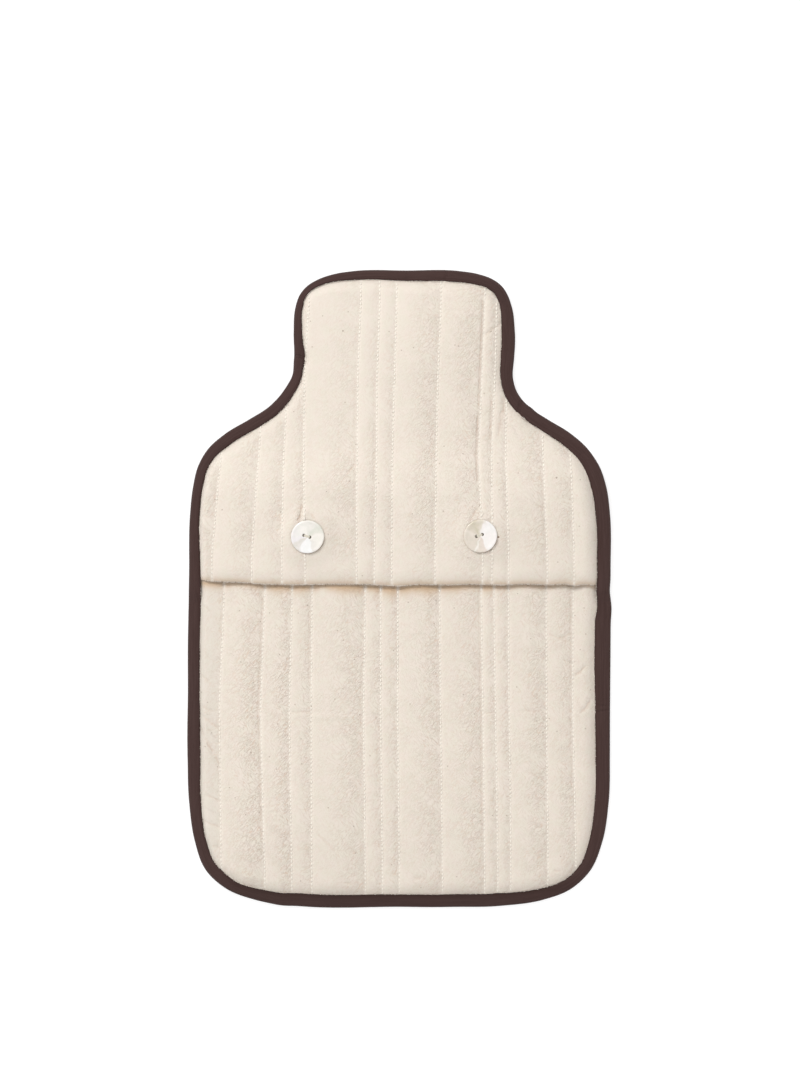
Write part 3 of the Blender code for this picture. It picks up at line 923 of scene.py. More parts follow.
# Creases across the strip: x, y, half width along it, depth, how far it slants over the strip's width.
STRIP_CREASES = (
    (-61.5, 136.8, 0.9, 1.2, 1.5),
    (73.5, 109.5, 0.9, 1.2, -4.0),
    (28.0, 183.5, 0.8, 0.45, 2.0),
    (122.0, 90.0, 1.5, 0.2, 2.0),
    (124.0, -69.0, 0.7, 0.45, 0.8),
    (124.0, -72.0, 0.7, 0.5, -1.2),
    (124.0, -3.0, 1.2, 0.3, -2.0),
    (-124.0, -64.0, 1.2, 0.2, 2.0),
    (60.0, -187.0, 1.2, 0.25, 2.0),
)
UNDER_WIDTH = 6.6
UNDER_FLAT = 3.8  # how far in the strip lies flat under the cover
ROUNDNESS = 0.8  # power that makes the strip's round side blunter than a half circle
STRIP = 0.6  # thickness of the strip itself
STRIP_WIDTH = 7.0  # its usual width as seen, over which a crease slants
RAGGED = ((0.07, 1.3, 11), (0.12, 7.0, 14))  # unevenness of its lip
# painted shade on the bottom of the binding
LOW_RIM_SHADE = 0.45  # how much darker the strip is at the bottom, from this y, and over what distance
LOW_RIM_FROM = -166.0
LOW_RIM_RUN = 14.0


def binding_top(y):
    """Height of the binding, over two layers of cloth, or three where the flap overlaps the lower panel."""
    above_hem = smooth((y - HEM_STEP_START) / HEM_STEP_RUN)
    third = LAYER * over_pocket(y) * above_hem
    return 2 * BINDING_WALL + 2 * LAYER + GAP + third


def outer_section(top, width):
    """The strip's outer side: under the cover, round its edge and over its front."""
    under = [(UNDER_WIDTH, 0.35), (UNDER_WIDTH - 0.4, 0.08), (UNDER_WIDTH - 1.4, 0.0)]
    high = top + CROWN[0][1]
    turn = [
        (FOLD - (FOLD + BULGE) * math.cos(angle) ** ROUNDNESS, high / 2 * (1.0 + math.sin(angle)))
        for angle in np.radians(np.linspace(-80.0, 80.0, 9))
    ]
    over = [(FOLD + share * (width - FOLD), top + rise) for share, rise in CROWN]
    return under + [(UNDER_FLAT, 0.0), (FOLD + 0.3, 0.0)] + turn + over[1:]


def inner_section(top, width):
    """The strip's hidden side, back from its lip to the underside."""
    over = [(FOLD + share * (width - FOLD), top + rise - STRIP) for share, rise in CROWN[-2::-2]]
    half = top / 2
    turn = []
    for angle in np.radians(np.linspace(70.0, -70.0, 6)):
        inwards = STRIP + (FOLD - STRIP) * (1.0 - math.cos(angle) ** ROUNDNESS)
        turn.append((inwards, half + (half - STRIP) * math.sin(angle)))
    return over + turn + [(UNDER_FLAT, STRIP), (UNDER_WIDTH - 0.4, STRIP + 0.1)]


def strip_waves(run, depth):
    """Rise and fall of the strip's outer side: soft waves, fine streaks and the creases across it."""
    strip = np.column_stack([run.ravel(), depth.ravel()])
    waves = 0.1 * wander(strip / (3.0, 1.0), 3.0, 12) + 0.05 * wander(strip / (12.0, 1.0), 1.1, 13)
    waves = waves.reshape(depth.shape)
    for x, y, width, fall, slant in STRIP_CREASES:
        away = (RUN - RUN[nearest_on(EDGE, x, y)] + LENGTH / 2) % LENGTH - LENGTH / 2
        across = (away[:, None] + slant * (depth / STRIP_WIDTH - 0.5)) / width
        waves = waves - fall * np.exp(-(across**2))
    return waves


def ring_faces(rings, ring):
    """The faces of a closed tube of so many rings, with so many points in each ring."""
    index = np.arange(rings * ring).reshape(rings, ring)
    ahead = np.roll(index, -1, axis=0)
    corners = [index, np.roll(index, -1, axis=1), np.roll(ahead, -1, axis=1), ahead]
    return np.stack(corners, axis=2).reshape(-1, 4).tolist()


def make_binding(cotton):
    along = np.column_stack([RUN, np.zeros_like(RUN)])
    widths = LIP + uneven(along, *RAGGED)
    sections = []
    for top, width in zip(binding_top(EDGE[:, 1]), widths):
        sections.append(outer_section(top, width) + inner_section(top, width))
    sections = np.array(sections)
    ring = sections.shape[1]
    depth, z = sections[:, :, 0], sections[:, :, 1]
    place = EDGE[:, None, :] + INWARD[:, None, :] * depth[:, :, None]
    run = np.repeat(RUN[:, None], ring, axis=1)
    outside = np.arange(ring) < len(outer_section(1.0, 1.0))
    z = z + strip_waves(run, depth) * outside * (z > RIM)
    points = np.column_stack([place.reshape(-1, 2), z.ravel()])
    made = mesh_object("cloth_binding", points, ring_faces(len(EDGE), ring), cotton)
    girth = np.cumsum(np.hypot(np.diff(depth, axis=1, prepend=0.0), np.diff(z, axis=1, prepend=0.0)), axis=1)
    add_attribute(made, "strip_run", run.ravel())
    add_attribute(made, "strip_across", girth.ravel())
    # painted shade along the bottom of the strip, strongest near its lip
    by_lip = 0.5 + smooth((depth / widths[:, None] - 0.5) / 0.4)
    low_rim_shade = LOW_RIM_SHADE * smooth((LOW_RIM_FROM - points[:, 1]) / LOW_RIM_RUN) * by_lip.ravel()
    add_attribute(made, "low_rim_shade", low_rim_shade)
    return made


# ---------------------------------------------------------------- sewing


def stitch_shape(sides, rings):
    """A plump thread along X, from -1 to 1, and its faces."""
    points = [(-1.0, 0.0, 0.0)]
    for place in rings:
        round_off = (1.0 - abs(place) ** 3) ** 0.5
        for n in range(sides):
            angle = math.tau * n / sides
            points.append((place, round_off * math.cos(angle), round_off * math.sin(angle)))
    points.append((1.0, 0.0, 0.0))
    last = len(points) - 1
    faces = []
    for n in range(sides):
        m = (n + 1) % sides
        faces.append((0, 1 + m, 1 + n))
        for ring in range(len(rings) - 1):
            low, high = 1 + ring * sides, 1 + (ring + 1) * sides
            faces.append((low + n, low + m, high + m, high + n))
        faces.append((last, last - sides + n, last - sides + m))
    return np.array(points), faces


def lay_stitches(name, starts, ends, up, finish, sides=6, rings=(-0.82, -0.4, 0.4, 0.82)):
    """One mesh of stitches, each from its start to its end."""
    shape, faces = stitch_shape(sides, rings)
    middle = (starts + ends) / 2
    along = (ends - starts) / 2
    side = np.cross(along, (0.0, 0.0, up))
    side *= STITCH_WIDTH / 2 / np.linalg.norm(side, axis=1)[:, None]
    rise = np.array((0.0, 0.0, STITCH_HEIGHT / 2 * up))
    points = (
        middle[:, None, :]
        + along[:, None, :] * shape[None, :, :1]
        + side[:, None, :] * shape[None, :, 1:2]
        + rise * shape[None, :, 2:3]
    )
    all_faces = [[corner + n * len(shape) for corner in face] for n in range(len(starts)) for face in faces]
    return mesh_object(name, points.reshape(-1, 3), all_faces, finish)


def quilt_stitches(name, quilting, heights, low, high, up, finish):
    """The stitches of a panel's lines, from `low` above its edge to y `high`, on the side `up` faces."""
    places = []
    for line in range(len(quilting.straight)):
        y = np.arange(low - low % STITCH_PITCH, high, STITCH_PITCH) + line_phase(line)
        places.append(np.column_stack([quilting.lines_at(y)[line], y]))
    middle = np.concatenate(places)
    middle = middle[middle[:, 1] > quilting.edge_at(middle[:, 0]) + low]
    middle = middle[inside_of(middle)[0] > 0.5]
    random = np.random.default_rng(51)
    half = STITCH_LENGTH / 2 * random.uniform(0.85, 1.1, len(middle))
    slant = random.uniform(-0.12, 0.12, len(middle))
    proud = 0.2 + 0.12 * wander(middle, 9.0, 52) + random.uniform(-0.08, 0.08, len(middle))
    proud -= 0.25 * quilting.pinched(middle - (1.0, 0.0))
    ends_3d = []
    for end in (-1.0, 1.0):
        points = middle + end * np.column_stack([slant, half])
        surface = heights(points)[0 if up > 0 else 1]
        ends_3d.append(np.column_stack([points, surface + up * proud]))
    return lay_stitches(name, *ends_3d, up, finish)


FIBRE_WIDTH = 0.3
HEM_FUZZ_SPAN = (-114.0, 115.0)
HEM_FUZZ_COUNT = 1300


def lay_fibres(name, roots, tips, finish):
    """Tapering fibres of the nap, each from its root to its tip."""
    along = tips - roots
    side = np.cross(along, (0.0, 0.0, 1.0))
    side *= FIBRE_WIDTH / 2 / np.linalg.norm(side, axis=1)[:, None]
    rise = np.array((0.0, 0.0, FIBRE_WIDTH / 2))
    middle = roots + along * 0.5 + rise
    points = np.stack([roots - rise, middle + side, middle - side, tips], axis=1).reshape(-1, 3)
    corners = np.array([(0, 1, 2), (0, 3, 1), (0, 2, 3), (1, 3, 2)])
    faces = (np.arange(len(roots))[:, None, None] * 4 + corners).reshape(-1, 3)
    return mesh_object(name, points, faces.tolist(), finish)


def lip_fuzz(name, low, high, finish):
    """Nap that lies over the lip of the binding, between two heights of y."""
    random = np.random.default_rng(21)
    index = np.flatnonzero((EDGE[:, 1] > low) & (EDGE[:, 1] < high))
    index = random.choice(index, len(index))
    index = index[wander(np.column_stack([RUN[index], np.zeros(len(index))]), 2.5, 22) > -0.35]
    top = binding_top(EDGE[index, 1])
    along = np.stack([-INWARD[index, 1], INWARD[index, 0]], axis=1)
    ends = []
    for depth, spread, fall in ((0.5, 0.3, 0.75), (-0.05, 0.3, 0.2)):
        inwards = (LIP[index] + depth + spread * random.uniform(-1.0, 1.0, len(index)))[:, None]
        slide = random.uniform(-0.6, 0.6, len(index))[:, None] * along
        ends.append(np.column_stack([EDGE[index] + INWARD[index] * inwards + slide, top - fall]))
    return lay_fibres(name, *ends, finish)


def hem_fuzz(finish):
    """Nap that stands out from the hem."""
    random = np.random.default_rng(23)
    x = random.uniform(*HEM_FUZZ_SPAN, HEM_FUZZ_COUNT)
    edge = FLAP.edge_at(x)
    top, bottom = flap_heights(np.column_stack([x, edge + 0.3]))
    z = bottom + (top - bottom) * random.uniform(0.2, 0.9, len(x))
    roots = np.column_stack([x, edge + 0.4, z])
    reach = random.uniform(0.5, 1.2, len(x))
    tip_x = x + random.uniform(-0.7, 0.7, len(x))
    tip_z = z + random.uniform(-0.3, 0.3, len(x))
    tips = np.column_stack([tip_x, edge - reach + 0.3, tip_z])
    return lay_fibres("fuzz_hem", roots, tips, finish)


# ---------------------------------------------------------------- buttons

BUTTON_PROFILE = (  # radius, height
    (0.0, 0.0),
    (8.3, 0.0),
    (9.1, 0.2),
    (9.6, 0.7),
    (BUTTON_RADIUS, 1.3),
    (9.72, 1.75),
    (9.4, 2.08),
    (8.95, 2.2),
    (8.4, 2.12),
    (7.8, 1.9),
    (7.0, 1.74),
    (5.5, 1.62),
    (4.0, 1.52),
    (2.9, 1.42),
    (1.5, 1.36),
    (0.0, 1.34),
)
BUTTON_STEPS = 96
STRANDS = (-0.3, 0.3)  # where the strands of a button's thread lie, beside its holes' middle
STRAND_HEIGHT = 1.15


def turned_mesh(name, profile, steps):
    bm = bmesh.new()
    rings = []
    for radius, height in profile:
        if radius == 0.0:
            rings.append([bm.verts.new((0.0, 0.0, height * MM))] * steps)
            continue
        angles = [math.tau * n / steps for n in range(steps)]
        ring = [(radius * math.cos(a) * MM, radius * math.sin(a) * MM, height * MM) for a in angles]
        rings.append([bm.verts.new(place) for place in ring])
    for low, high in zip(rings, rings[1:]):
        for n in range(steps):
            m = (n + 1) % steps
            bm.faces.new(list(dict.fromkeys((low[n], low[m], high[m], high[n]))))
    bmesh.ops.recalc_face_normals(bm, faces=bm.faces)
    mesh = bpy.data.meshes.new(name)
    bm.to_mesh(mesh)
    bm.free()
    return mesh


HOLE_PROFILE = (
    (0.0, -1.0),
    (HOLE_RADIUS, -1.0),
    (HOLE_RADIUS, 1.0),
    (HOLE_RADIUS + 0.05, 1.25),
    (HOLE_RADIUS + 0.35, 1.5),
    (HOLE_RADIUS + 0.8, 1.9),
    (0.0, 1.9),
)


def drill(made, x, y):
    """Cuts a thread hole through a button."""
    cutter = bpy.data.objects.new("hole_cutter", turned_mesh("hole_cutter", HOLE_PROFILE, 32))
    bpy.context.collection.objects.link(cutter)
    cutter.location = (x * MM, y * MM, 0.0)
    hole = made.modifiers.new("hole", "BOOLEAN")
    hole.object = cutter
    hole.solver = "EXACT"
    bpy.context.view_layer.update()
    drilled = bpy.data.meshes.new_from_object(made.evaluated_get(bpy.context.evaluated_depsgraph_get()))
    made.modifiers.clear()
    made.data = drilled
    bpy.data.objects.remove(cutter)


def make_button(name, shell, thread):
    """A shell button where its node is, and the thread between its holes."""
    turn, (middle_x, middle_y), shift = BUTTONS[name]
    low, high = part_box(name)
    made = bpy.data.objects.new(f"shell_{name}", turned_mesh(name, BUTTON_PROFILE, BUTTON_STEPS))
    bpy.context.collection.objects.link(made)
    for side in (-1.0, 1.0):
        drill(made, middle_x + side * HOLE_SPACING / 2, middle_y)
    made.data.materials.clear()
    made.data.materials.append(shell)
    made.data.shade_smooth()
    made.data.set_sharp_from_angle(angle=math.radians(40.0))
    made.location = ((low.x + high.x) / 2 + shift * MM, (low.y + high.y) / 2, low.z)
    made.rotation_euler.z = math.radians(turn)
    reach = HOLE_SPACING / 2 + 0.1
    starts = np.array([(middle_x - reach, middle_y + y, STRAND_HEIGHT) for y in STRANDS])
    ends = np.array([(middle_x + reach, middle_y + y, STRAND_HEIGHT + 0.1 * y) for y in STRANDS])
    rings = (-0.9, -0.6, 0.0, 0.6, 0.9)
    sewn = lay_stitches(f"thread_{name}", starts, ends, 1.0, thread, sides=8, rings=rings)
    sewn.location = made.location
    sewn.rotation_euler.z = made.rotation_euler.z
    return made, sewn


# ---------------------------------------------------------------- materials


class Nodes:
    """Shorthand for the nodes of one material."""

    def __init__(self, name):
        self.material = bpy.data.materials.new(name)
        self.material.use_nodes = True
        self.tree = self.material.node_tree
        self.shader = self.tree.nodes["Principled BSDF"]

    def add(self, kind, **settings):
        node = self.tree.nodes.new(kind)
        for key, value in settings.items():
            setattr(node, key, value)
        return node

    def feed(self, socket, value):
        if isinstance(value, bpy.types.NodeSocket):
            self.tree.links.new(value, socket)
        elif isinstance(value, tuple) and len(value) == 3 and socket.type == "RGBA":
            socket.default_value = (*value, 1.0)
        else:
            socket.default_value = value

    def set(self, **values):
        """Feeds the shader's own sockets, named with underscores for spaces."""
        for key, value in values.items():
            self.feed(self.shader.inputs[key.replace("_", " ")], value)

    def math(self, operation, *values):
        node = self.add("ShaderNodeMath", operation=operation)
        for socket, value in zip(node.inputs, values):
            self.feed(socket, value)
        return node.outputs[0]

    def total(self, *values):
        result = values[0]
        for value in values[1:]:
            result = self.math("ADD", result, value)
        return result

    def times(self, first, second):
        return self.math("MULTIPLY", first, second)

    def attribute(self, name):
        return self.add("ShaderNodeAttribute", attribute_name=name).outputs["Fac"]

    def place(self):
        return self.add("ShaderNodeTexCoord").outputs["Object"]

    def stretched(self, place, size, turn=0.0):
        """Coordinates turned about Z by `turn` degrees and counted in `size` millimetres."""
        node = self.add("ShaderNodeMapping", vector_type="TEXTURE")
        self.feed(node.inputs["Vector"], place)
        node.inputs["Rotation"].default_value = (0.0, 0.0, math.radians(turn))
        node.inputs["Scale"].default_value = tuple(length * MM for length in size)
        return node.outputs[0]

    def level(self, place):
        """The place in millimetres, without its height."""
        node = self.add("ShaderNodeVectorMath", operation="MULTIPLY")
        self.feed(node.inputs[0], place)
        node.inputs[1].default_value = (1.0 / MM, 1.0 / MM, 0.0)
        return node.outputs[0]

    def noise(self, place, detail=2.0, roughness=0.5, distortion=0.0):
        node = self.add("ShaderNodeTexNoise")
        self.feed(node.inputs["Vector"], place)
        node.inputs["Scale"].default_value = 1.0
        node.inputs["Detail"].default_value = detail
        node.inputs["Roughness"].default_value = roughness
        node.inputs["Distortion"].default_value = distortion
        return node.outputs[0]

    def ramp(self, value, low, high, to_low=0.0, to_high=1.0):
        node = self.add("ShaderNodeMapRange", interpolation_type="SMOOTHSTEP")
        for socket, number in zip(node.inputs, (value, low, high, to_low, to_high)):
            self.feed(socket, number)
        return node.outputs[0]

    def mix(self, share, first, second):
        node = self.add("ShaderNodeMix", data_type="RGBA")
        for socket, value in zip((node.inputs[0], node.inputs[6], node.inputs[7]), (share, first, second)):
            self.feed(socket, value)
        return node.outputs[2]

    def bump(self, height):
        """Relief from a height in millimetres."""
        node = self.add("ShaderNodeBump")
        node.inputs["Strength"].default_value = 1.0
        node.inputs["Distance"].default_value = MM
        self.feed(node.inputs["Height"], height)
        self.feed(self.shader.inputs["Normal"], node.outputs[0])


FLECKS = (  # x, y, radius, strength
    (58.2, 30.6, 0.75, 1.0),
    (-41.4, 32.2, 0.6, 0.35),
    (-53.7, -9.5, 0.6, 0.5),
    (-33.0, 152.0, 0.7, 0.6),
    (35.0, 143.0, 0.6, 0.4),
    (26.0, 45.7, 0.7, 0.4),
    (92.6, 65.5, 0.8, 0.6),
)
NAP_TURN = 50.0  # direction in which the nap was brushed, in degrees from +X
CROSS_TURN = 128.0  # and where it was brushed the other way
# Height that each part of the relief gives, in millimetres.
NAP_RELIEF = -0.13
FLUFF_RELIEF = 0.18
PIT_RELIEF = -0.04
CREASE_RELIEF = -0.3
# How strongly each part takes on its colour: the nap its darker tone, partly painted shade; the pinches and
# folds painted shade; the stitch lines a painted highlight.
NAP_COLOUR = 0.62
PINCH_SHADE = 0.35
FOLD_SHADE = 0.5
LINE_HIGHLIGHT_SHARE = 0.75


def brushed_cotton():
    """Cream cotton brushed to a short nap that lies in slanting strokes."""
    made = Nodes("brushed_cotton")
    place = made.place()
    nap = brushed_nap(made, place)
    fuzz = made.noise(made.stretched(place, (1.3, 0.8, 0.8), NAP_TURN), 2.0, 0.6)
    pits = stitch_pits(made)
    fluff = made.times(fuzz, made.times(made.attribute("nap"), FLUFF_RELIEF))
    ragged = made.noise(made.stretched(place, (2.0, 2.6, 2.0)), 1.0)
    beside = made.total(made.times(ragged, 1.2), 0.9)
    pinch = made.times(made.attribute("pinch"), near_line(made, beside, 0.6))
    bent = made.total(made.attribute("off_fold"), made.times(ragged, 2.4), -1.2)
    fold = made.times(made.attribute("fold"), falloff(made, bent, 0.6))
    creases = made.times(made.total(pinch, fold), CREASE_RELIEF)
    made.bump(made.total(made.times(nap, NAP_RELIEF), fluff, made.times(pits, PIT_RELIEF), creases))
    tint = made.noise(made.stretched(place, (5.0, 5.0, 5.0)), 1.0)
    colour = made.mix(made.ramp(tint, 0.35, 0.65), CREAM_PINK, CREAM_GREEN)
    colour = made.mix(made.attribute("cool_grey"), colour, COOL_GREY)
    # the nap's darker strokes: the cloth's own tone, partly painted shade on the puffs' right sides
    colour = made.mix(made.times(nap, NAP_COLOUR), colour, NAP_TONE_AND_SHADE)
    dark = made.times(made.ramp(fuzz, 0.45, 0.75, 0.0, 0.14), made.attribute("nap"))
    colour = made.mix(dark, colour, NAP_TONE_AND_SHADE)
    # painted shade in the pinches and along the bottoms of the creases
    painted_crease_shade = made.total(made.times(pinch, PINCH_SHADE), made.times(fold, FOLD_SHADE))
    colour = made.mix(painted_crease_shade, colour, NAP_TONE_AND_SHADE)
    # painted shade under and along the hem
    colour = made.mix(made.attribute("crevice_shade"), colour, CREVICE_SHADE)
    # painted highlight in a narrow band along each stitch line
    colour = made.mix(made.times(near_line(made, 0.0, 1.0), LINE_HIGHLIGHT_SHARE), colour, LINE_HIGHLIGHT)
    made.set(Base_Color=made.mix(flecks(made, place), colour, FLECK))
    made.set(Roughness=0.95, Specular_IOR_Level=0.2, Sheen_Weight=0.25, Sheen_Roughness=0.6)
    return made.material


def brushed_nap(made, place):
    """The nap's dark strokes, 0 to 1: strongest in patches, and where a puff turns down on its right, where
    their colour is partly painted shade.
    """
    long_strokes = hairs(made, place, (5.0, 1.35), NAP_TURN)
    short_strokes = hairs(made, place, (3.2, 0.95), NAP_TURN - 14.0)
    strokes = made.math("MAXIMUM", long_strokes, short_strokes)
    crossing = hairs(made, place, (4.0, 1.1), CROSS_TURN)
    lie = made.ramp(made.noise(made.stretched(place, (16.0, 16.0, 16.0)), 1.0), 0.52, 0.62)
    both = made.mix(lie, strokes, crossing)
    # stronger towards each puff's right side: in relief, and in colour as painted shade where that side turns
    # from the light
    ruffled_and_shaded = made.ramp(made.attribute("puff_share"), 0.15, 0.9, 0.38, 0.85)
    patches = made.noise(made.stretched(place, (10.0, 7.0, 7.0), NAP_TURN), 1.0)
    strength = made.times(made.attribute("nap"), made.ramp(patches, 0.3, 0.7, 0.93, 1.05))
    return made.times(both, made.times(ruffled_and_shaded, strength))


def hairs(made, place, size, turn):
    """1 on thin strokes that lie at `turn` degrees, about `size` long and apart."""
    field = made.noise(made.stretched(place, (size[0], size[1], 2.0), turn), 0.0, 0.5, 0.3)
    away = made.math("ABSOLUTE", made.math("SUBTRACT", field, 0.5))
    return made.ramp(away, 0.0, 0.04, 1.0, 0.0)


def stitch_pits(made):
    """1 where the thread pulls the cloth down, at the ends of each stitch."""
    phase = made.times(made.attribute("along_line"), math.tau / STITCH_PITCH)
    gap = made.math("SUBTRACT", 0.5, made.times(made.math("COSINE", phase), 0.5))
    return made.times(near_line(made, 0.0, 0.6), gap)


def near_line(made, beside, reach):
    """1 at a distance beside a line of stitches, down to 0 at both sides of that."""
    return falloff(made, made.math("SUBTRACT", made.attribute("off_line"), beside), reach)


def falloff(made, distance, reach):
    """1 where the distance is 0, down to 0 at both sides."""
    across = made.math("DIVIDE", distance, reach)
    return made.math("EXPONENT", made.times(made.times(across, across), -1.0))


def flecks(made, place):
    """1 on the sparse dark specks of seed in raw cotton, some of them in their own places."""
    spots = made.add("ShaderNodeTexVoronoi", voronoi_dimensions="2D")
    made.feed(spots.inputs["Vector"], made.stretched(place, (7.3, 7.3, 7.3), 31.0))
    spots.inputs["Scale"].default_value = 1.0
    chosen = made.add("ShaderNodeSeparateColor")
    made.feed(chosen.inputs[0], spots.outputs["Color"])
    picked = made.math("LESS_THAN", chosen.outputs[0], 0.1)
    share = made.times(picked, made.ramp(spots.outputs["Distance"], 0.03, 0.07, 0.5, 0.0))
    level = made.level(place)
    for x, y, radius, strength in FLECKS:
        away = made.add("ShaderNodeVectorMath", operation="DISTANCE")
        made.feed(away.inputs[0], level)
        away.inputs[1].default_value = (x, y, 0.0)
        near = made.ramp(away.outputs["Value"], 0.5 * radius, radius, strength, 0.0)
        share = made.math("MAXIMUM", share, near)
    return share


def binding_cotton():
    """Dark brown plain-woven cotton, cut on the bias so that its threads run at 45 degrees to the strip."""
    made = Nodes("binding_cotton")
    strip = made.add("ShaderNodeCombineXYZ")
    made.feed(strip.inputs[0], made.attribute("strip_run"))
    made.feed(strip.inputs[1], made.attribute("strip_across"))
    threads = [thread_wave(made, strip.outputs[0], turn) for turn in (45.0, -45.0)]
    weave = made.times(*threads)
    streaks = made.noise(made.stretched(strip.outputs[0], (22.0 / MM, 0.9 / MM, 1.0 / MM)), 2.0, 0.6)
    slubs = made.noise(made.stretched(strip.outputs[0], (2.0 / MM, 0.7 / MM, 1.0 / MM)), 2.0, 0.6)
    made.bump(made.total(made.times(weave, 0.07), made.times(streaks, 0.12), made.times(slubs, 0.1)))
    share = made.total(made.ramp(streaks, 0.3, 0.7, 0.0, 0.6), made.times(slubs, 0.4))
    colour = made.mix(share, BROWN, BROWN_PALE)
    # painted shade along the bottom of the binding
    made.set(Base_Color=made.mix(made.attribute("low_rim_shade"), colour, BROWN_SHADED))
    made.set(Roughness=0.9, Specular_IOR_Level=0.12, Sheen_Weight=0.04, Sheen_Roughness=0.5)
    return made.material


def thread_wave(made, strip, turn, pitch=0.42):
    """Ridges of one set of threads across the strip."""
    node = made.add("ShaderNodeTexWave", wave_type="BANDS", bands_direction="X", wave_profile="SIN")
    made.feed(node.inputs["Vector"], made.stretched(strip, (pitch / MM, pitch / MM, pitch / MM), turn))
    node.inputs["Scale"].default_value = math.tau / 20
    node.inputs["Distortion"].default_value = 0.6
    return node.outputs["Fac"]


GLOSS = 0.035
# painted shadow: a dark crescent on the rim of each button, towards its lower right
SHADOW_CRESCENT = shown(150, 126, 106, GLOSS)
SHADOW_SIDE = -57.0  # the side of a button's rim with a painted shadow, in degrees from +X

# Growth bands of the shell, fanning out from the middle: degrees from +X, colour. Their brightest white
# wedges are partly a painted reflection of the shell's sheen.
PEARL_LEFT = (
    (0, (250, 245, 236)),
    (22, (232, 231, 218)),
    (48, (228, 229, 216)),
    (75, (244, 240, 232)),
    (105, (255, 251, 243)),
    (150, (254, 251, 245)),
    (185, (246, 242, 244)),
    (208, (228, 222, 213)),
    (228, (232, 227, 220)),
    (239, (255, 255, 255)),
    (296, (255, 255, 254)),
    (306, (240, 235, 228)),
    (335, (250, 245, 236)),
)
PEARL_RIGHT = (
    (0, (255, 249, 246)),
    (40, (255, 253, 251)),
    (78, (255, 249, 246)),
    (97, (230, 218, 199)),
    (118, (208, 196, 168)),
    (140, (219, 206, 185)),
    (165, (234, 222, 206)),
    (215, (224, 211, 194)),
    (243, (224, 212, 196)),
    (254, (248, 242, 232)),
    (266, (224, 211, 195)),
    (296, (232, 215, 204)),
    (311, (255, 250, 247)),
)


def pearl(name, turn, bands):
    """Mother-of-pearl with growth bands that fan out over it, their brightest white wedges partly a painted
    reflection, and soft clouds of pink and green.
    """
    made = Nodes(name)
    place = made.place()
    swirl = made.noise(made.stretched(place, (9.0, 9.0, 9.0)), 3.0, 0.55, 0.4)
    bent = made.math("SUBTRACT", swirl, 0.5)
    axes = made.add("ShaderNodeSeparateXYZ")
    made.feed(axes.inputs[0], made.stretched(place, (1.0, 1.0, 1.0), -turn))
    angle = made.math("ARCTAN2", made.times(axes.outputs[1], -1.0), made.times(axes.outputs[0], -1.0))
    share = made.total(made.times(angle, 1.0 / math.tau), 0.5, made.times(bent, 0.3))
    # the fanned bands: the shell's own tones, with painted reflection in their white wedges
    fan = made.add("ShaderNodeValToRGB")
    made.feed(fan.inputs[0], made.math("FRACT", share))
    fill_ramp(fan.color_ramp, bands)
    clouds = made.noise(made.stretched(place, (2.2, 2.2, 2.2)), 3.0, 0.6)
    tint = made.mix(made.ramp(clouds, 0.4, 0.6), shown(255, 246, 240, GLOSS), shown(234, 232, 222, GLOSS))
    colour = made.mix(0.28, fan.outputs[0], tint)
    # painted shadow on the lower right of the rim
    made.set(Base_Color=made.mix(painted_shadow_crescent(made, place, turn), colour, SHADOW_CRESCENT))
    made.bump(made.times(swirl, 0.15))
    made.set(Roughness=0.25, Specular_IOR_Level=0.5, Coat_Weight=0.3, Coat_Roughness=0.1)
    return made.material


def painted_shadow_crescent(made, place, turn):
    """1 on a painted shadow, a dark crescent along one side of the button's rim."""
    level = made.level(place)
    away = made.add("ShaderNodeVectorMath", operation="LENGTH")
    made.feed(away.inputs[0], level)
    side = made.add("ShaderNodeVectorMath", operation="DOT_PRODUCT")
    made.feed(side.inputs[0], level)
    direction = math.radians(SHADOW_SIDE - turn)
    side.inputs[1].default_value = (math.cos(direction), math.sin(direction), 0.0)
    rim = made.ramp(away.outputs["Value"], 9.45, 9.65)
    return made.times(rim, made.ramp(side.outputs["Value"], 4.5, 8.0))


def fill_ramp(ramp, bands):
    """Puts the bands' colours on a ramp that closes on itself."""
    ramp.interpolation = "EASE"
    ramp.elements[0].position = 0.0
    ramp.elements[0].color = (*shown(*bands[0][1], GLOSS), 1.0)
    ramp.elements[1].position = 1.0
    ramp.elements[1].color = (*shown(*bands[0][1], GLOSS), 1.0)
    for degrees, colour in bands[1:]:
        ramp.elements.new(degrees / 360).color = (*shown(*colour, GLOSS), 1.0)


def thread_material(name, colour):
    """Sewing thread, with its twist."""
    made = Nodes(name)
    place = made.place()
    twist = made.noise(made.stretched(place, (0.9, 0.22, 0.5), 20.0), 1.0)
    made.bump(made.times(twist, 0.12))
    made.set(Base_Color=made.mix(twist, tuple(0.93 * part for part in colour), colour))
    made.set(Roughness=0.7, Specular_IOR_Level=0.3, Sheen_Weight=0.1)
    return made.material


def floor_material():
    """A plain pale table, lit a little from below, with the faintest unevenness."""
    made = Nodes("pale_floor")
    soft = made.noise(made.stretched(made.place(), (400.0, 400.0, 400.0)), 1.0)
    darker = tuple(0.99 * part for part in FLOOR_COLOUR)
    made.set(Base_Color=made.mix(soft, darker, FLOOR_COLOUR))
    made.set(Roughness=0.9, Specular_IOR_Level=0.1, Emission_Color=(1.0, 1.0, 1.0), Emission_Strength=0.6)
    return made.material


# ---------------------------------------------------------------- stage

FLOOR_SIZE = 6000.0
FLOOR_Z = -0.05
WORLD_STRENGTH = 1.1
KEY_PLACE = (-1260.0, 1610.0, 1600.0)
KEY_SIZE = 800.0
KEY_POWER = 29.5


def aimed(made, place):
    """Puts a lamp or camera at the place, in millimetres, looking at the middle of the cover."""
    made.location = [part * MM for part in place]
    made.rotation_euler = (-made.location).to_track_quat("-Z", "Y").to_euler()
    bpy.context.collection.objects.link(made)


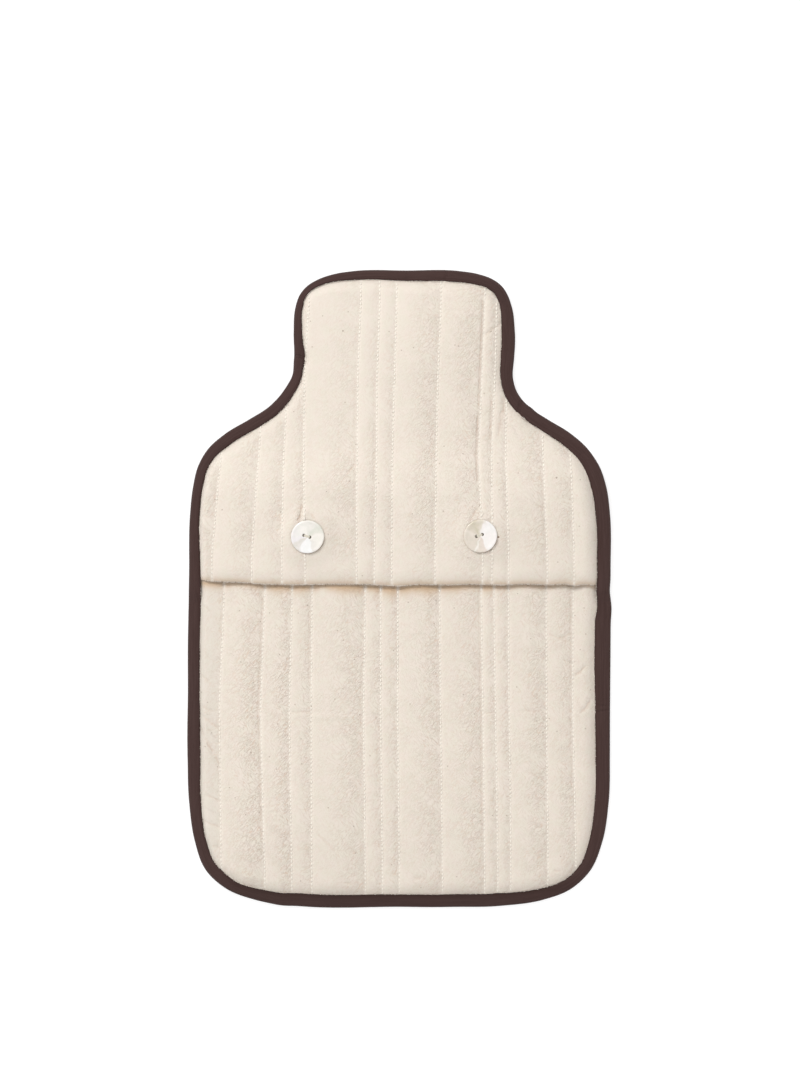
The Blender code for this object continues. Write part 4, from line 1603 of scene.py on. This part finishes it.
def make_floor():
    half = FLOOR_SIZE / 2
    corners = [(-half, -half), (half, -half), (half, half), (-half, half)]
    points = np.array([(x, y, FLOOR_Z) for x, y in corners])
    mesh_object("floor", points, [(0, 1, 2, 3)], floor_material())


def make_lights():
    world = bpy.context.scene.world or bpy.data.worlds.new("world")
    bpy.context.scene.world = world
    world.use_nodes = True
    sky = world.node_tree.nodes["Background"]
    sky.inputs["Color"].default_value = (1.0, 1.0, 1.0, 1.0)
    sky.inputs["Strength"].default_value = WORLD_STRENGTH
    key = bpy.data.lights.new("key", "AREA")
    key.shape = "DISK"
    key.size = KEY_SIZE * MM
    key.energy = KEY_POWER
    aimed(bpy.data.objects.new("key", key), KEY_PLACE)


def make_camera():
    lens = bpy.data.cameras.new("camera")
    lens.sensor_width = SENSOR
    lens.lens = SENSOR * (CAMERA_HEIGHT - RIM_HEIGHT) / (PHOTO_PIXELS[1] * PHOTO_MM)
    made = bpy.data.objects.new("camera", lens)
    bpy.context.collection.objects.link(made)
    made.location = (PHOTO_MIDDLE[0] * MM, PHOTO_MIDDLE[1] * MM, CAMERA_HEIGHT * MM)
    bpy.context.scene.camera = made
    bpy.context.scene.view_settings.view_transform = "Standard"


# ---------------------------------------------------------------- the cover


def ride_all(pieces):
    for piece in pieces:
        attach(piece, "root")


def main():
    cotton = brushed_cotton()
    thread = thread_material("cream_thread", THREAD)
    sewing_thread = thread_material("button_thread", SEWING)
    back = make_back(cotton)
    lower = make_lower(cotton)
    flap = make_flap(cotton)
    binding = make_binding(binding_cotton())
    sewing = [
        quilt_stitches("stitches_flap", FLAP, flap_heights, 1.2, 186.0, 1.0, thread),
        quilt_stitches("stitches_lower", LOWER, lower_heights, -186.0, 0.0, 1.0, thread),
        quilt_stitches("stitches_back", BACK, back_heights, -186.0, 186.0, -1.0, thread),
    ]
    looks = {
        "button_left": pearl("pearl_left", BUTTONS["button_left"][0], PEARL_LEFT),
        "button_right": pearl("pearl_right", BUTTONS["button_right"][0], PEARL_RIGHT),
    }
    for name in BUTTONS:
        button, sewn = make_button(name, looks[name], sewing_thread)
        ride_all([button, sewn])
        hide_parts(name)
    fuzz = [
        lip_fuzz("fuzz_flap", 4.0, 190.0, cotton),
        lip_fuzz("fuzz_lower", -190.0, 2.0, cotton),
        hem_fuzz(cotton),
    ]
    ride_all([back, lower, flap, binding, *sewing, *fuzz])
    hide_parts("back_panel")
    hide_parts("front_lower")
    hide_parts("front_upper")
    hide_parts("binding")
    make_floor()
    make_lights()
    make_camera()


main()
